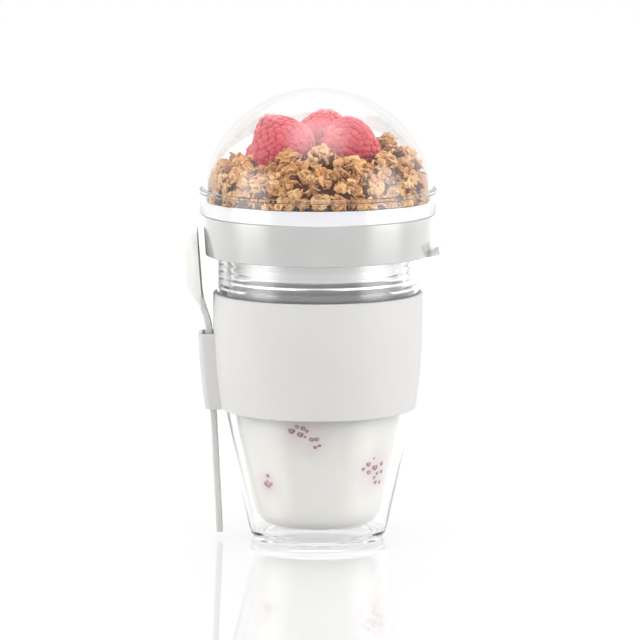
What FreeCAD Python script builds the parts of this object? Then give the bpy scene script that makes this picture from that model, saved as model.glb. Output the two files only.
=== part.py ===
import FreeCAD
import Part
import Sketcher
import math
import os
import random
from types import SimpleNamespace

# A yogurt jar to carry: a double-walled clear tumbler of yogurt, a soft band with a loop that
# holds a spoon, a white topping cup that plugs the neck, and a clear dome over granola and
# raspberries. Millimetres, +Z up, origin at the middle of the foot, on the jar's axis.
# The spoon and its loop are on the -X side, the topping cup's lift tab on the +X side.

# Driving dimensions: (name, value, what it measures). They fill the sheet, and every length
# below is one of them or is worked out from them.
DIMENSIONS = [
    ("foot_radius", 27.8, "tumbler: foot on the table"),
    ("shoulder_radius", 29.2, "tumbler: widest part of the foot's slant"),
    ("shoulder_height", 3.8, "tumbler: top of the foot's slant"),
    ("neck_radius", 42.8, "tumbler: upright wall at the neck"),
    ("bend_height", 67.1, "tumbler: where slope and upright would meet"),
    ("bend_round", 250.0, "tumbler: radius that joins slope and upright"),
    ("rim_height", 124.0, "tumbler: top of the neck"),
    ("clear_wall", 1.7, "thickness of the clear plastic walls"),
    ("edge_round", 0.5, "round on the moulded pieces' edges"),
    ("shoulder_round", 0.8, "tumbler: round at the top of the foot's slant"),
    ("base_thickness", 2.2, "tumbler: outer floor"),
    ("seam_radius", 23.5, "tumbler: welded seam round the base disc"),
    ("seam_width", 0.9, "tumbler: width of the seam groove"),
    ("seam_depth", 0.6, "tumbler: depth of the seam groove"),
    ("wall_gap", 2.4, "air between the two clear walls"),
    ("liner_floor", 6.2, "inner wall: underside of its floor"),
    ("liner_round", 9.0, "inner wall: round between floor and side"),
    ("rim_flange", 1.6, "inner wall: thickness of the flange at the rim"),
    ("ridge_start", 108.8, "outer wall: height of the lowest thread ridge"),
    ("ridge_pitch", 3.1, "outer wall: step from ridge to ridge"),
    ("ridge_count", 5, "outer wall: number of thread ridges"),
    ("ridge_height", 1.8, "outer wall: height of a ridge"),
    ("ridge_depth", 0.5, "outer wall: how far a ridge stands out"),
    ("ridge_root", 0.4, "outer wall: how deep a ridge starts inside the wall"),
    ("yogurt_level", 91.0, "height of the yogurt's surface"),
    ("band_bottom", 55.8, "band: lower edge"),
    ("band_top", 105.3, "band: upper edge"),
    ("band_thickness", 1.6, "band: thickness of the soft wall"),
    ("band_round", 0.7, "band: round on its outer edges"),
    ("loop_bottom", 55.8, "loop: lower end"),
    ("loop_top", 88.0, "loop: upper end"),
    ("loop_reach", 6.3, "loop: how far it stands out from the band"),
    ("loop_root", 0.9, "loop: how deep it starts inside the band"),
    ("loop_width", 17.0, "loop: width round the jar"),
    ("loop_wall", 1.6, "loop: thickness"),
    ("loop_round", 2.6, "loop: round on its outer corners"),
    ("slot_clearance", 0.1, "loop: slot's inner face above the band"),
    ("cup_foot", 112.8, "topping cup: underside of its plug"),
    ("cup_floor", 2.0, "topping cup: thickness of its floor"),
    ("plug_radius", 36.2, "topping cup: outside of the plug"),
    ("plug_wall", 1.8, "topping cup: thickness of the plug"),
    ("plug_draft", 0.4, "topping cup: how much its bowl narrows downwards"),
    ("cup_round", 1.5, "topping cup: rounds of the plug and of its shelf's inner edge"),
    ("shelf_round", 2.5, "topping cup: round between shelf and rim"),
    ("web_thickness", 2.0, "topping cup: shelf that rests on the tumbler's rim"),
    ("collar_bottom", 121.3, "topping cup: lower edge of the collar"),
    ("collar_bottom_radius", 47.6, "topping cup: collar at its lower edge"),
    ("collar_top", 138.3, "topping cup: top of the collar"),
    ("collar_top_radius", 48.9, "topping cup: collar at its top"),
    ("collar_wall", 2.0, "topping cup: thickness of the collar"),
    ("cup_rim", 144.4, "topping cup: rim"),
    ("cup_rim_radius", 46.6, "topping cup: outside of the rim"),
    ("cup_rim_width", 1.6, "topping cup: thickness at the rim"),
    ("tab_bottom", 120.6, "tab: underside at the collar"),
    ("tab_thickness", 2.6, "tab: thickness"),
    ("tab_reach", 5.4, "tab: how far it stands out from the collar"),
    ("tab_lift", 6.2, "tab: height of its raised end above its underside"),
    ("tab_slant", 1.9, "tab: how far its underside rises to its tip"),
    ("tab_lip", 3.4, "tab: length of its raised end"),
    ("tab_width", 15.0, "tab: width round the jar"),
    ("tab_turn", -7.0, "tab: how far the cup is screwed past the +X axis, degrees"),
    ("dome_radius", 49.0, "dome: half its width"),
    ("dome_rise", 47.4, "dome: height above its centre"),
    ("dome_centre", 144.4, "dome: height of its centre"),
    ("dome_wall", 1.6, "dome: thickness"),
    ("skirt_radius", 50.2, "dome: outside of its skirt"),
    ("skirt_bottom", 138.6, "dome: lower edge of its skirt"),
    ("skirt_top", 149.4, "dome: where the skirt steps in to the dome"),
    ("skirt_room", 0.3, "dome: room between its skirt and the topping cup"),
    ("spoon_foot", 2.2, "spoon: height of the handle's end"),
    ("spoon_foot_reach", 41.85, "spoon: middle of the handle's end, from the axis"),
    ("spoon_neck", 91.0, "spoon: height where the handle bends"),
    ("spoon_neck_reach", 46.25, "spoon: middle of the handle at the bend"),
    ("spoon_join", 98.6, "spoon: height where the handle meets the bowl"),
    ("spoon_join_reach", 48.9, "spoon: middle of the handle at the bowl"),
    ("spoon_thickness", 2.9, "spoon: thickness of the handle"),
    ("spoon_width", 8.6, "spoon: width of the handle"),
    ("spoon_end_round", 0.9, "spoon: rounds at the handle's end"),
    ("spoon_bend", 6.0, "spoon: round where the handle bends"),
    ("spoon_blend", 1.6, "spoon: how far the handle runs into the bowl"),
    ("bowl_centre", 115.4, "spoon: height of the bowl's middle"),
    ("bowl_reach", 49.35, "spoon: the bowl's rim at its middle, from the axis"),
    ("bowl_half_length", 17.2, "spoon: half the bowl's length"),
    ("bowl_half_width", 13.4, "spoon: half the bowl's width"),
    ("bowl_depth", 7.7, "spoon: depth of the bowl outside"),
    ("bowl_wall", 1.5, "spoon: thickness of the bowl"),
    ("bowl_lean", 4.3, "spoon: how far the bowl leans out at its tip, degrees"),
    ("heap_gap", 0.15, "granola: room left to the walls round it"),
    ("heap_shoulder", 154.5, "granola: height up to which it lies on the dome"),
    ("heap_top", 165.0, "granola: height of the heap's middle between its clusters"),
    ("heap_crumble", 1.3, "granola: how far the small lumps between clusters stand out"),
    ("bed_gap", 1.2, "granola: room round each raspberry that sits in it"),
    ("berry_radius", 12.6, "raspberry: half its width"),
    ("berry_length", 26.0, "raspberry: length"),
    ("drupelet_rise", 0.9, "raspberry: how far a drupelet stands out"),
]

doc = FreeCAD.newDocument("yogurt_jar")
sheet = doc.addObject("Spreadsheet::Sheet", "sizes")


class Size:
    """A length, kept as its value and as the sheet formula that gives it."""

    def __init__(self, value, formula):
        self.value = float(value)
        self.formula = formula

    def __add__(self, other):
        other = as_size(other)
        return Size(self.value + other.value, "(%s + %s)" % (self.formula, other.formula))

    def __sub__(self, other):
        other = as_size(other)
        return Size(self.value - other.value, "(%s - %s)" % (self.formula, other.formula))

    def __mul__(self, other):
        other = as_size(other)
        return Size(self.value * other.value, "(%s * %s)" % (self.formula, other.formula))

    def __truediv__(self, other):
        other = as_size(other)
        return Size(self.value / other.value, "(%s / %s)" % (self.formula, other.formula))

    def __neg__(self):
        return Size(-self.value, "(-%s)" % self.formula)


def as_size(number):
    """A plain number as a Size, so that the two can be added."""
    if isinstance(number, Size):
        return number
    return Size(number, "%g" % number)


def fill_sheet():
    """Write the driving dimensions into the sheet and return them as named Sizes."""
    named = {}
    for row, (name, value, meaning) in enumerate(DIMENSIONS, start=1):
        sheet.set("A%d" % row, meaning)
        sheet.set("B%d" % row, "%g" % value)
        sheet.setAlias("B%d" % row, name)
        named[name] = Size(value, "sizes.%s" % name)
    doc.recompute()
    return SimpleNamespace(**named)


mm = fill_sheet()
AXIS = Size(0, "0")


# ---- sketches and features ----

def new_body(name):
    body = doc.addObject("PartDesign::Body", name)
    body.Label = name
    return body


def origin_feature(body, role):
    """One of a body's own origin planes or axes, such as XZ_Plane."""
    for feature in body.Origin.OriginFeatures:
        if feature.Role == role:
            return feature
    raise ValueError("no origin feature " + role)


def new_sketch(body, name, plane, height=None):
    """A sketch on one of the body's origin planes, raised to a height if one is given."""
    sketch = body.newObject("Sketcher::SketchObject", name)
    sketch.AttachmentSupport = [(origin_feature(body, plane), "")]
    sketch.MapMode = "FlatFace"
    if height is not None:
        sketch.setExpression("AttachmentOffset.Base.z", height.formula)
    return sketch


def bind(sketch, kind, places, size):
    """Add a dimension to a sketch and bind it to the sheet."""
    index = sketch.addConstraint(Sketcher.Constraint(kind, *places, size.value))
    sketch.setExpression("Constraints[%d]" % index, size.formula)


def place_point(sketch, geometry, end, across, up):
    """Fix a point of a sketch at (across, up). Zero lies on the sketch's own axis."""
    if across.value == 0:
        sketch.addConstraint(Sketcher.Constraint("PointOnObject", geometry, end, -2))
    else:
        bind(sketch, "DistanceX", (-1, 1, geometry, end), across)
    if up.value == 0:
        sketch.addConstraint(Sketcher.Constraint("PointOnObject", geometry, end, -1))
    else:
        bind(sketch, "DistanceY", (-1, 1, geometry, end), up)


def corner_round(before, corner, after, radius):
    """The two tangent points and the centre of the round in a corner."""
    to_before = (before - corner).normalize()
    to_after = (after - corner).normalize()
    half_angle = to_before.getAngle(to_after) / 2
    along = radius / math.tan(half_angle)
    middle = (to_before + to_after).normalize()
    centre = corner + middle * (radius / math.sin(half_angle))
    return corner + to_before * along, corner + to_after * along, centre


def add_arc(sketch, centre, radius, start, end):
    """Add the short arc from start to end. Returns it with the numbers of its two ends."""
    first = start - centre
    last = end - centre
    turns_left = first.x * last.y - first.y * last.x > 0
    if not turns_left:
        first, last = last, first
    circle = Part.Circle(centre, FreeCAD.Vector(0, 0, 1), radius)
    angles = math.atan2(first.y, first.x), math.atan2(last.y, last.x)
    arc = sketch.addGeometry(Part.ArcOfCircle(circle, angles[0], angles[1]), False)
    return (arc, 1, 2) if turns_left else (arc, 2, 1)


def outline(sketch, corners):
    """Draw a closed outline from its corners: (across, up) or (across, up, round).

    Every corner's place and round is bound to the sheet. A rounded corner keeps its sharp
    place as a point that both of its edges run through.
    """
    corners = [tuple(as_size(size) for size in corner) for corner in corners]
    points = [FreeCAD.Vector(corner[0].value, corner[1].value, 0) for corner in corners]
    count = len(points)
    entry = list(points)
    leave = list(points)
    rounds = {}
    for i, corner in enumerate(corners):
        if len(corner) == 3:
            before = points[i - 1]
            after = points[(i + 1) % count]
            entry[i], leave[i], centre = corner_round(before, points[i], after, corner[2].value)
            rounds[i] = centre
    edges = []
    for i in range(count):
        line = Part.LineSegment(leave[i], entry[(i + 1) % count])
        edges.append(sketch.addGeometry(line, False))
    for i, corner in enumerate(corners):
        edge_in = edges[i - 1]
        edge_out = edges[i]
        if i in rounds:
            radius = corner[2]
            arc, start, end = add_arc(sketch, rounds[i], radius.value, entry[i], leave[i])
            sharp = sketch.addGeometry(Part.Point(points[i]), True)
            sketch.addConstraint(Sketcher.Constraint("Tangent", edge_in, 2, arc, start))
            sketch.addConstraint(Sketcher.Constraint("Tangent", arc, end, edge_out, 1))
            sketch.addConstraint(Sketcher.Constraint("PointOnObject", sharp, 1, edge_in))
            sketch.addConstraint(Sketcher.Constraint("PointOnObject", sharp, 1, edge_out))
            bind(sketch, "Radius", (arc,), radius)
            place_point(sketch, sharp, 1, corner[0], corner[1])
        else:
            sketch.addConstraint(Sketcher.Constraint("Coincident", edge_in, 2, edge_out, 1))
            place_point(sketch, edge_out, 1, corner[0], corner[1])


def turned(body, name, corners, kind="PartDesign::Revolution"):
    """Turn an outline in the XZ plane about the body's Z axis."""
    sketch = new_sketch(body, name + "_outline", "XZ_Plane")
    outline(sketch, corners)
    feature = body.newObject(kind, name)
    feature.Profile = sketch
    feature.ReferenceAxis = (sketch, ["V_Axis"])
    feature.Angle = 360
    return feature


def lofted(body, name, kind, lower, upper):
    """Loft between two outlines at (height, corners) in planes across the Z axis."""
    sections = []
    for level, (height, corners) in zip(("lower", "upper"), (lower, upper)):
        sketch = new_sketch(body, "%s_%s" % (name, level), "XY_Plane", height)
        outline(sketch, corners)
        sections.append(sketch)
    feature = body.newObject(kind, name)
    feature.Profile = sections[0]
    feature.Sections = sections[1:]
    feature.Ruled = True
    return feature


def padded(body, name, corners, width):
    """Pad an outline in the XZ plane evenly to both sides of it."""
    sketch = new_sketch(body, name + "_outline", "XZ_Plane")
    outline(sketch, corners)
    feature = body.newObject("PartDesign::Pad", name)
    feature.Profile = sketch
    feature.Midplane = True
    feature.setExpression("Length", width.formula)
    return feature


# ---- the tumbler's walls ----

# Going up, the wall slopes out from the shoulder and bends to upright. Every surface of both
# walls and of the band is this same line, moved in or out.
wall_slope = (mm.neck_radius - mm.shoulder_radius) / (mm.bend_height - mm.shoulder_height)
liner_inset = mm.clear_wall + mm.wall_gap
filling_inset = liner_inset + mm.clear_wall


def sloped_radius(height, inset):
    """Radius of the sloping stretch at a height, moved in by inset."""
    return mm.shoulder_radius + (height - mm.shoulder_height) * wall_slope - inset


def wall_bend(inset):
    """The corner between slope and upright, moved in by inset, with its wide round."""
    return (mm.neck_radius - inset, mm.bend_height, mm.bend_round - inset)


def make_outer_wall():
    """The clear outer wall with its foot, open at the top, with thread ridges for the lid
    round its neck."""
    body = new_body("cup_outer")
    inside_foot = sloped_radius(mm.shoulder_height, mm.clear_wall)
    foot_slant = mm.shoulder_radius - mm.foot_radius
    corners = [
        (AXIS, AXIS),
        (mm.foot_radius, AXIS, mm.edge_round),
        (mm.shoulder_radius, mm.shoulder_height, mm.shoulder_round),
        wall_bend(AXIS),
        (mm.neck_radius, mm.rim_height, mm.edge_round),
        (mm.neck_radius - mm.clear_wall, mm.rim_height),
        wall_bend(mm.clear_wall),
        (inside_foot, mm.shoulder_height + mm.edge_round, mm.shoulder_round),
        (inside_foot - foot_slant, mm.base_thickness, mm.edge_round),
        (AXIS, mm.base_thickness),
    ]
    turned(body, "outer_shell", corners)
    seam_in = mm.seam_radius - mm.seam_width
    groove = [
        (seam_in, AXIS),
        (mm.seam_radius, AXIS),
        (mm.seam_radius, mm.seam_depth),
        (seam_in, mm.seam_depth),
    ]
    turned(body, "base_seam", groove, "PartDesign::Groove")
    half_ridge = mm.ridge_height / 2
    ridge_corners = [
        (mm.neck_radius - mm.ridge_root, mm.ridge_start - half_ridge),
        (mm.neck_radius + mm.ridge_depth, mm.ridge_start - half_ridge / 3),
        (mm.neck_radius + mm.ridge_depth, mm.ridge_start + half_ridge / 3),
        (mm.neck_radius - mm.ridge_root, mm.ridge_start + half_ridge),
    ]
    ridge = turned(body, "thread_ridge", ridge_corners)
    ridges = body.newObject("PartDesign::LinearPattern", "thread_ridges")
    ridges.Originals = [ridge]
    ridges.Direction = (origin_feature(body, "Z_Axis"), [""])
    ridges.setExpression("Length", (mm.ridge_pitch * (mm.ridge_count - 1)).formula)
    ridges.setExpression("Occurrences", mm.ridge_count.formula)
    body.Tip = ridges
    return body


def make_liner():
    """The clear inner wall: its flange closes the gap at the rim."""
    body = new_body("cup_inner")
    floor_top = mm.liner_floor + mm.clear_wall
    inner_radius = mm.neck_radius - filling_inset
    flange_under = mm.rim_height - mm.rim_flange
    corners = [
        (AXIS, mm.liner_floor),
        (sloped_radius(mm.liner_floor, liner_inset), mm.liner_floor, mm.liner_round),
        wall_bend(liner_inset),
        (mm.neck_radius - liner_inset, flange_under),
        (mm.neck_radius - mm.clear_wall, flange_under),
        (mm.neck_radius - mm.clear_wall, mm.rim_height),
        (inner_radius, mm.rim_height, mm.edge_round),
        wall_bend(filling_inset),
        (sloped_radius(floor_top, filling_inset), floor_top, mm.liner_round - mm.clear_wall),
        (AXIS, floor_top),
    ]
    turned(body, "liner_shell", corners)
    return body


def make_yogurt():
    """The yogurt: it fills the inner wall from the floor to its level."""
    body = new_body("yogurt")
    floor_top = mm.liner_floor + mm.clear_wall
    corners = [
        (AXIS, floor_top),
        (sloped_radius(floor_top, filling_inset), floor_top, mm.liner_round - mm.clear_wall),
        wall_bend(filling_inset),
        (mm.neck_radius - filling_inset, mm.rim_height),
        (AXIS, mm.rim_height),
    ]
    turned(body, "full_filling", corners)
    above = [
        (AXIS, mm.yogurt_level),
        (mm.neck_radius, mm.yogurt_level),
        (mm.neck_radius, mm.cup_rim),
        (AXIS, mm.cup_rim),
    ]
    turned(body, "level", above, "PartDesign::Groove")
    return body


# ---- the band and its loop ----

def loop_corners(near, far, half_width, round_radius):
    """A loop's outline seen from above, from the band outward, rounded on its far side."""
    return [
        (near, -half_width),
        (far, -half_width, round_radius),
        (far, half_width, round_radius),
        (near, half_width),
    ]


def band_surface(height):
    """Radius of the band's outside at a height on the wide round, which draws the wall in
    by the square of the drop below its upright end over twice its radius."""
    upright_from = mm.bend_height + mm.bend_round * wall_slope / 2
    drop = upright_from - height
    return mm.neck_radius + mm.band_thickness - drop * drop / (mm.bend_round * 2)


def make_band():
    """The soft band round the tumbler, with the upright loop that the spoon stands in."""
    body = new_body("band")
    outset = -mm.band_thickness
    corners = [
        (sloped_radius(mm.shoulder_height, outset), mm.shoulder_height),
        wall_bend(outset),
        (mm.neck_radius - outset, mm.band_top, mm.band_round),
        (mm.neck_radius, mm.band_top),
        wall_bend(AXIS),
        (mm.shoulder_radius, mm.shoulder_height),
    ]
    turned(body, "band_wall", corners)
    below = [
        (mm.foot_radius / 2, AXIS),
        (mm.skirt_radius, AXIS),
        (mm.skirt_radius, mm.band_bottom),
        (mm.foot_radius / 2, mm.band_bottom),
    ]
    turned(body, "band_lower_edge", below, "PartDesign::Groove")
    half_width = mm.loop_width / 2
    block = []
    slot = []
    for height in (mm.loop_bottom, mm.loop_top):
        surface = band_surface(height)
        far = surface + mm.loop_reach
        block_corners = loop_corners(
            surface - mm.loop_root, far, half_width, mm.loop_round)
        slot_corners = loop_corners(
            surface + mm.slot_clearance,
            far - mm.loop_wall,
            half_width - mm.loop_wall,
            mm.loop_round - mm.loop_wall,
        )
        block.append((height, block_corners))
        slot.append((height, slot_corners))
    lofted(body, "loop_block", "PartDesign::AdditiveLoft", *block)
    lofted(body, "loop_slot", "PartDesign::SubtractiveLoft", *slot)
    body.Placement = FreeCAD.Placement(
        FreeCAD.Vector(0, 0, 0), FreeCAD.Rotation(FreeCAD.Vector(0, 0, 1), 180))
    return body


# ---- the topping cup ----

def make_topping_cup():
    """The white cup: a collar outside the neck, a shelf on the rim and a bowl that reaches
    down into the neck, with a small lift tab at the collar's lower edge."""
    body = new_body("topping_cup")
    shelf_top = mm.rim_height + mm.web_thickness
    floor_top = mm.cup_foot + mm.cup_floor
    inner_rim = mm.cup_rim_radius - mm.cup_rim_width
    collar_inner = mm.collar_bottom_radius - mm.collar_wall
    skirt_inside = mm.skirt_radius - mm.dome_wall - mm.skirt_room
    corners = [
        (AXIS, mm.cup_foot),
        (mm.plug_radius - mm.plug_draft, mm.cup_foot, mm.cup_round),
        (mm.plug_radius, mm.rim_height),
        (collar_inner, mm.rim_height, mm.edge_round),
        (collar_inner, mm.collar_bottom, mm.edge_round),
        (mm.collar_bottom_radius, mm.collar_bottom, mm.edge_round),
        (mm.collar_top_radius, mm.collar_top, mm.edge_round),
        (skirt_inside, mm.collar_top),
        (mm.cup_rim_radius, mm.cup_rim, mm.edge_round),
        (inner_rim, mm.cup_rim, mm.edge_round),
        (inner_rim - mm.plug_draft, shelf_top, mm.shelf_round),
        (mm.plug_radius - mm.plug_wall, shelf_top, mm.cup_round),
        (mm.plug_radius - mm.plug_wall - mm.plug_draft, floor_top, mm.cup_round),
        (AXIS, floor_top),
    ]
    turned(body, "cup_wall", corners)
    root = mm.collar_bottom_radius - mm.collar_wall / 2
    tip = mm.collar_bottom_radius + mm.tab_reach
    tab_top = mm.tab_bottom + mm.tab_thickness
    tab = [
        (root, mm.tab_bottom + mm.edge_round),
        (tip, mm.tab_bottom + mm.tab_slant, mm.edge_round * 2),
        (tip - mm.tab_slant / 2, mm.tab_bottom + mm.tab_lift, mm.edge_round),
        (tip - mm.tab_lip, tab_top + mm.edge_round * 2, mm.tab_thickness / 2),
        (root, tab_top + mm.edge_round),
    ]
    padded(body, "lift_tab", tab, mm.tab_width)
    body.setExpression("Placement.Rotation.Angle", mm.tab_turn.formula)
    body.Placement.Rotation.Axis = FreeCAD.Vector(0, 0, 1)
    return body


# ---- the dome ----

def primitive(kind, name, base=None, **sizes):
    """A Part primitive whose sizes, and height above the origin, are bound to the sheet."""
    shape = doc.addObject(kind, name)
    for prop, size in sizes.items():
        shape.setExpression(prop, as_size(size).formula)
    if base is not None:
        shape.setExpression("Placement.Base.z", base.formula)
    return shape


def boolean(kind, name, base, tool):
    result = doc.addObject(kind, name)
    result.Base = base
    result.Tool = tool
    return result


def dome_solid(name, inset, skirt_low):
    """The dome's outer form, moved in by inset: an upper half ellipsoid on a wider skirt."""
    cap = primitive(
        "Part::Ellipsoid", name + "_cap", mm.dome_centre,
        Radius1=mm.dome_rise - inset,
        Radius2=mm.dome_radius - inset,
        Radius3=mm.dome_radius - inset,
        Angle1=0, Angle2=90, Angle3=360,
    )
    skirt = primitive(
        "Part::Cylinder", name + "_skirt", skirt_low,
        Radius=mm.skirt_radius - inset,
        Height=mm.skirt_top - inset - skirt_low,
    )
    return boolean("Part::Fuse", name, cap, skirt)


def make_dome():
    """The clear dome: a shallow ellipsoid with a wider skirt round the topping cup's rim."""
    outside = dome_solid("dome_outside", AXIS, mm.skirt_bottom)
    inside = dome_solid("dome_inside", mm.dome_wall, mm.skirt_bottom)
    dome = boolean("Part::Cut", "dome", outside, inside)
    dome.Label = "dome"
    return dome


# ---- the spoon ----

def make_spoon():
    """The spoon, standing bowl up with its hollow side to the jar."""
    handle = new_body("spoon_handle")
    half = mm.spoon_thickness / 2
    corners = [
        (mm.spoon_foot_reach - half, mm.spoon_foot, mm.spoon_end_round),
        (mm.spoon_foot_reach + half, mm.spoon_foot, mm.spoon_end_round),
        (mm.spoon_neck_reach + half, mm.spoon_neck, mm.spoon_bend),
        (mm.spoon_join_reach + mm.spoon_blend, mm.spoon_join + mm.spoon_blend),
        (mm.spoon_join_reach - mm.spoon_blend / 2, mm.spoon_join + mm.spoon_blend * 2),
        (mm.spoon_join_reach - mm.spoon_blend / 2, mm.spoon_join, mm.spoon_bend / 2),
        (mm.spoon_neck_reach - half, mm.spoon_neck, mm.spoon_bend),
    ]
    padded(handle, "handle_blank", corners, mm.spoon_width)
    halves = []
    for name, inset in (("bowl_outside", AXIS), ("bowl_inside", mm.bowl_wall)):
        halves.append(primitive(
            "Part::Ellipsoid", name, None,
            Radius1=mm.bowl_half_length - inset,
            Radius2=mm.bowl_half_width - inset,
            Radius3=mm.bowl_depth - inset,
            Angle1=-90, Angle2=90, Angle3=180,
        ))
    bowl = boolean("Part::Cut", "bowl", *halves)
    turn = FreeCAD.Rotation(FreeCAD.Vector(0, 0, 1), -90)
    lean = FreeCAD.Rotation(FreeCAD.Vector(0, 1, 0), mm.bowl_lean.value)
    bowl.Placement = FreeCAD.Placement(FreeCAD.Vector(0, 0, 0), lean.multiply(turn))
    bowl.setExpression("Placement.Base.x", mm.bowl_reach.formula)
    bowl.setExpression("Placement.Base.z", mm.bowl_centre.formula)
    spoon = boolean("Part::Fuse", "spoon", handle, bowl)
    spoon.Label = "spoon"
    spoon.Placement = FreeCAD.Placement(
        FreeCAD.Vector(0, 0, 0), FreeCAD.Rotation(FreeCAD.Vector(0, 0, 1), 180))
    return spoon


# ---- granola and raspberries ----

# Where each raspberry lies: (x, y, z) of its middle, the direction of its tip as a turn about
# Z and a tilt up from level, and its size against the common one.
BERRIES = {
    "raspberry_left": ((-15.6, -11.2, 168.9), 186, 58, 1.06),
    "raspberry_right": ((14.2, -10.4, 166.8), -8, -16, 1.0),
    "raspberry_back": ((2.6, 14.2, 169.9), 72, 58, 1.02),
    "raspberry_low": ((-21.4, 11.6, 160.6), 150, 10, 0.84),
}

# Clusters that stand out of the heap: middle (x, y), radius, and height above the heap
HEAP_CLUSTERS = {
    "front_left": ((-12.0, -26.0), 8.5, 5.0),
    "front_middle": ((1.0, -23.5), 8.0, 5.5),
    "front_right": ((14.5, -27.0), 7.5, 3.6),
    "right_front": ((27.0, -21.5), 7.5, 7.0),
    "right_peak": ((28.5, 5.0), 7.5, 9.4),
    "right_shoulder": ((36.0, -1.0), 8.0, 8.4),
    "right_back": ((27.0, 21.0), 8.0, 5.5),
    "back_right": ((9.0, 32.5), 8.0, 4.6),
    "back_left": ((-9.5, 31.0), 8.0, 5.6),
    "left_back": ((-27.0, 27.0), 7.5, 3.4),
    "left": ((-38.0, 5.0), 7.5, 3.2),
    "left_front": ((-29.0, -24.5), 8.0, 2.2),
    "left_slope": ((-37.5, -11.0), 6.0, 2.8),
}
HEAP_SIDES = 48
HEAP_STEPS = 17
HEAP_SEED = 7
BERRY_STEPS = 18
BERRY_SIDES = 32
DRUPELETS_ROUND = 8


def closed_solid(rings, bottom, top):
    """A faceted solid through rings of points, closed by one point at each end."""
    faces = []
    count = len(rings[0])

    def add(*points):
        faces.append(Part.Face(Part.makePolygon(list(points) + [points[0]])))

    for i in range(count):
        j = (i + 1) % count
        add(bottom, rings[0][j], rings[0][i])
        add(top, rings[-1][i], rings[-1][j])
        for low, high in zip(rings, rings[1:]):
            add(low[i], low[j], high[j])
            add(low[i], high[j], high[i])
    solid = Part.Solid(Part.makeShell(faces))
    if solid.Volume < 0:
        solid.reverse()
    return solid


def dome_room(height):
    """Radius of the dome's inside at a height."""
    rise = mm.dome_rise.value - mm.dome_wall.value
    share = (height - mm.dome_centre.value) / rise
    return (mm.dome_radius.value - mm.dome_wall.value) * math.sqrt(max(0.0, 1 - share * share))


def small_lumps():
    """Middles, radii and heights of the lumps scattered between the clusters."""
    source = random.Random(HEAP_SEED)
    lumps = []
    for count, reach in ((6, 12.0), (11, 24.0), (17, 34.0), (22, 42.0)):
        for i in range(count):
            turn = 2 * math.pi * (i + source.uniform(-0.3, 0.3)) / count
            middle = reach * math.cos(turn), reach * math.sin(turn)
            rise = mm.heap_crumble.value * source.uniform(0.4, 1.0)
            lumps.append((middle, source.uniform(3.5, 5.5), rise))
    return lumps


def berry_bed(x, y):
    """Height below which the heap has to stay at (x, y), so that no berry is cut."""
    lowest = mm.dome_centre.value + mm.dome_rise.value
    for middle, _, _, scale in BERRIES.values():
        radius = mm.berry_length.value / 2 * scale + mm.bed_gap.value
        away = math.hypot(x - middle[0], y - middle[1])
        if away < radius:
            bed = middle[2] - math.sqrt(radius * radius - away * away)
            lowest = min(lowest, bed)
    return lowest


def heap_height(x, y, lumps):
    """Height of the heap's top at (x, y), over the base between its clusters."""
    edge = dome_room(mm.heap_shoulder.value) - mm.heap_gap.value
    share = min(1.0, math.hypot(x, y) / edge)
    fall = mm.heap_top.value - mm.heap_shoulder.value
    height = mm.heap_top.value - fall * share ** 3
    for bumps in (HEAP_CLUSTERS.values(), lumps):
        bump = 0.0
        for middle, radius, rise in bumps:
            away = math.hypot(x - middle[0], y - middle[1]) / radius
            if away < 1:
                bump = max(bump, rise * (1 - away ** 2.5))
        height += bump * (1 - share ** 8)
    return min(height, berry_bed(x, y))


def make_granola():
    """The granola: it fills the topping cup, lies against the dome and heaps up unevenly."""
    gap = mm.heap_gap.value
    plug_inner = mm.plug_radius.value - mm.plug_wall.value
    shelf_top = mm.rim_height.value + mm.web_thickness.value
    floor_top = mm.cup_foot.value + mm.cup_floor.value
    inner_rim = mm.cup_rim_radius.value - mm.cup_rim_width.value
    rim = mm.cup_rim.value
    draft = mm.plug_draft.value
    cup_round = mm.cup_round.value
    shelf_round = mm.shelf_round.value
    # a point just clear of the middle of the round at the shelf's inner edge
    cut_corner = cup_round / 5 - gap
    profile = [
        (plug_inner - draft - cup_round - gap, floor_top + gap),
        (plug_inner - draft - gap, floor_top + cup_round + gap),
        (plug_inner - gap, shelf_top - cup_round),
        (plug_inner + cut_corner, shelf_top - cut_corner),
        (plug_inner + cup_round, shelf_top + gap),
        (inner_rim - draft - shelf_round - gap, shelf_top + gap),
        (inner_rim - draft - gap, shelf_top + shelf_round + gap),
        (inner_rim - gap, rim + gap),
    ]
    shoulder = mm.heap_shoulder.value
    for height in (rim + 2 * gap, (rim + shoulder) / 2, shoulder):
        profile.append((dome_room(height) - gap, height))
    turns = [2 * math.pi * i / HEAP_SIDES for i in range(HEAP_SIDES)]
    rings = []
    for radius, height in profile:
        rings.append([
            FreeCAD.Vector(radius * math.cos(turn), radius * math.sin(turn), height)
            for turn in turns
        ])
    lumps = small_lumps()
    edge = profile[-1][0]
    steps = HEAP_STEPS
    for step in range(1, steps):
        radius = edge * (1 - step / steps)
        ring = []
        for turn in turns:
            x = radius * math.cos(turn)
            y = radius * math.sin(turn)
            ring.append(FreeCAD.Vector(x, y, heap_height(x, y, lumps)))
        rings.append(ring)
    bottom = FreeCAD.Vector(0, 0, profile[0][1])
    top = FreeCAD.Vector(0, 0, heap_height(0, 0, lumps))
    granola = doc.addObject("Part::Feature", "granola")
    granola.Label = "granola"
    granola.Shape = closed_solid(rings, bottom, top)
    return granola


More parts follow.
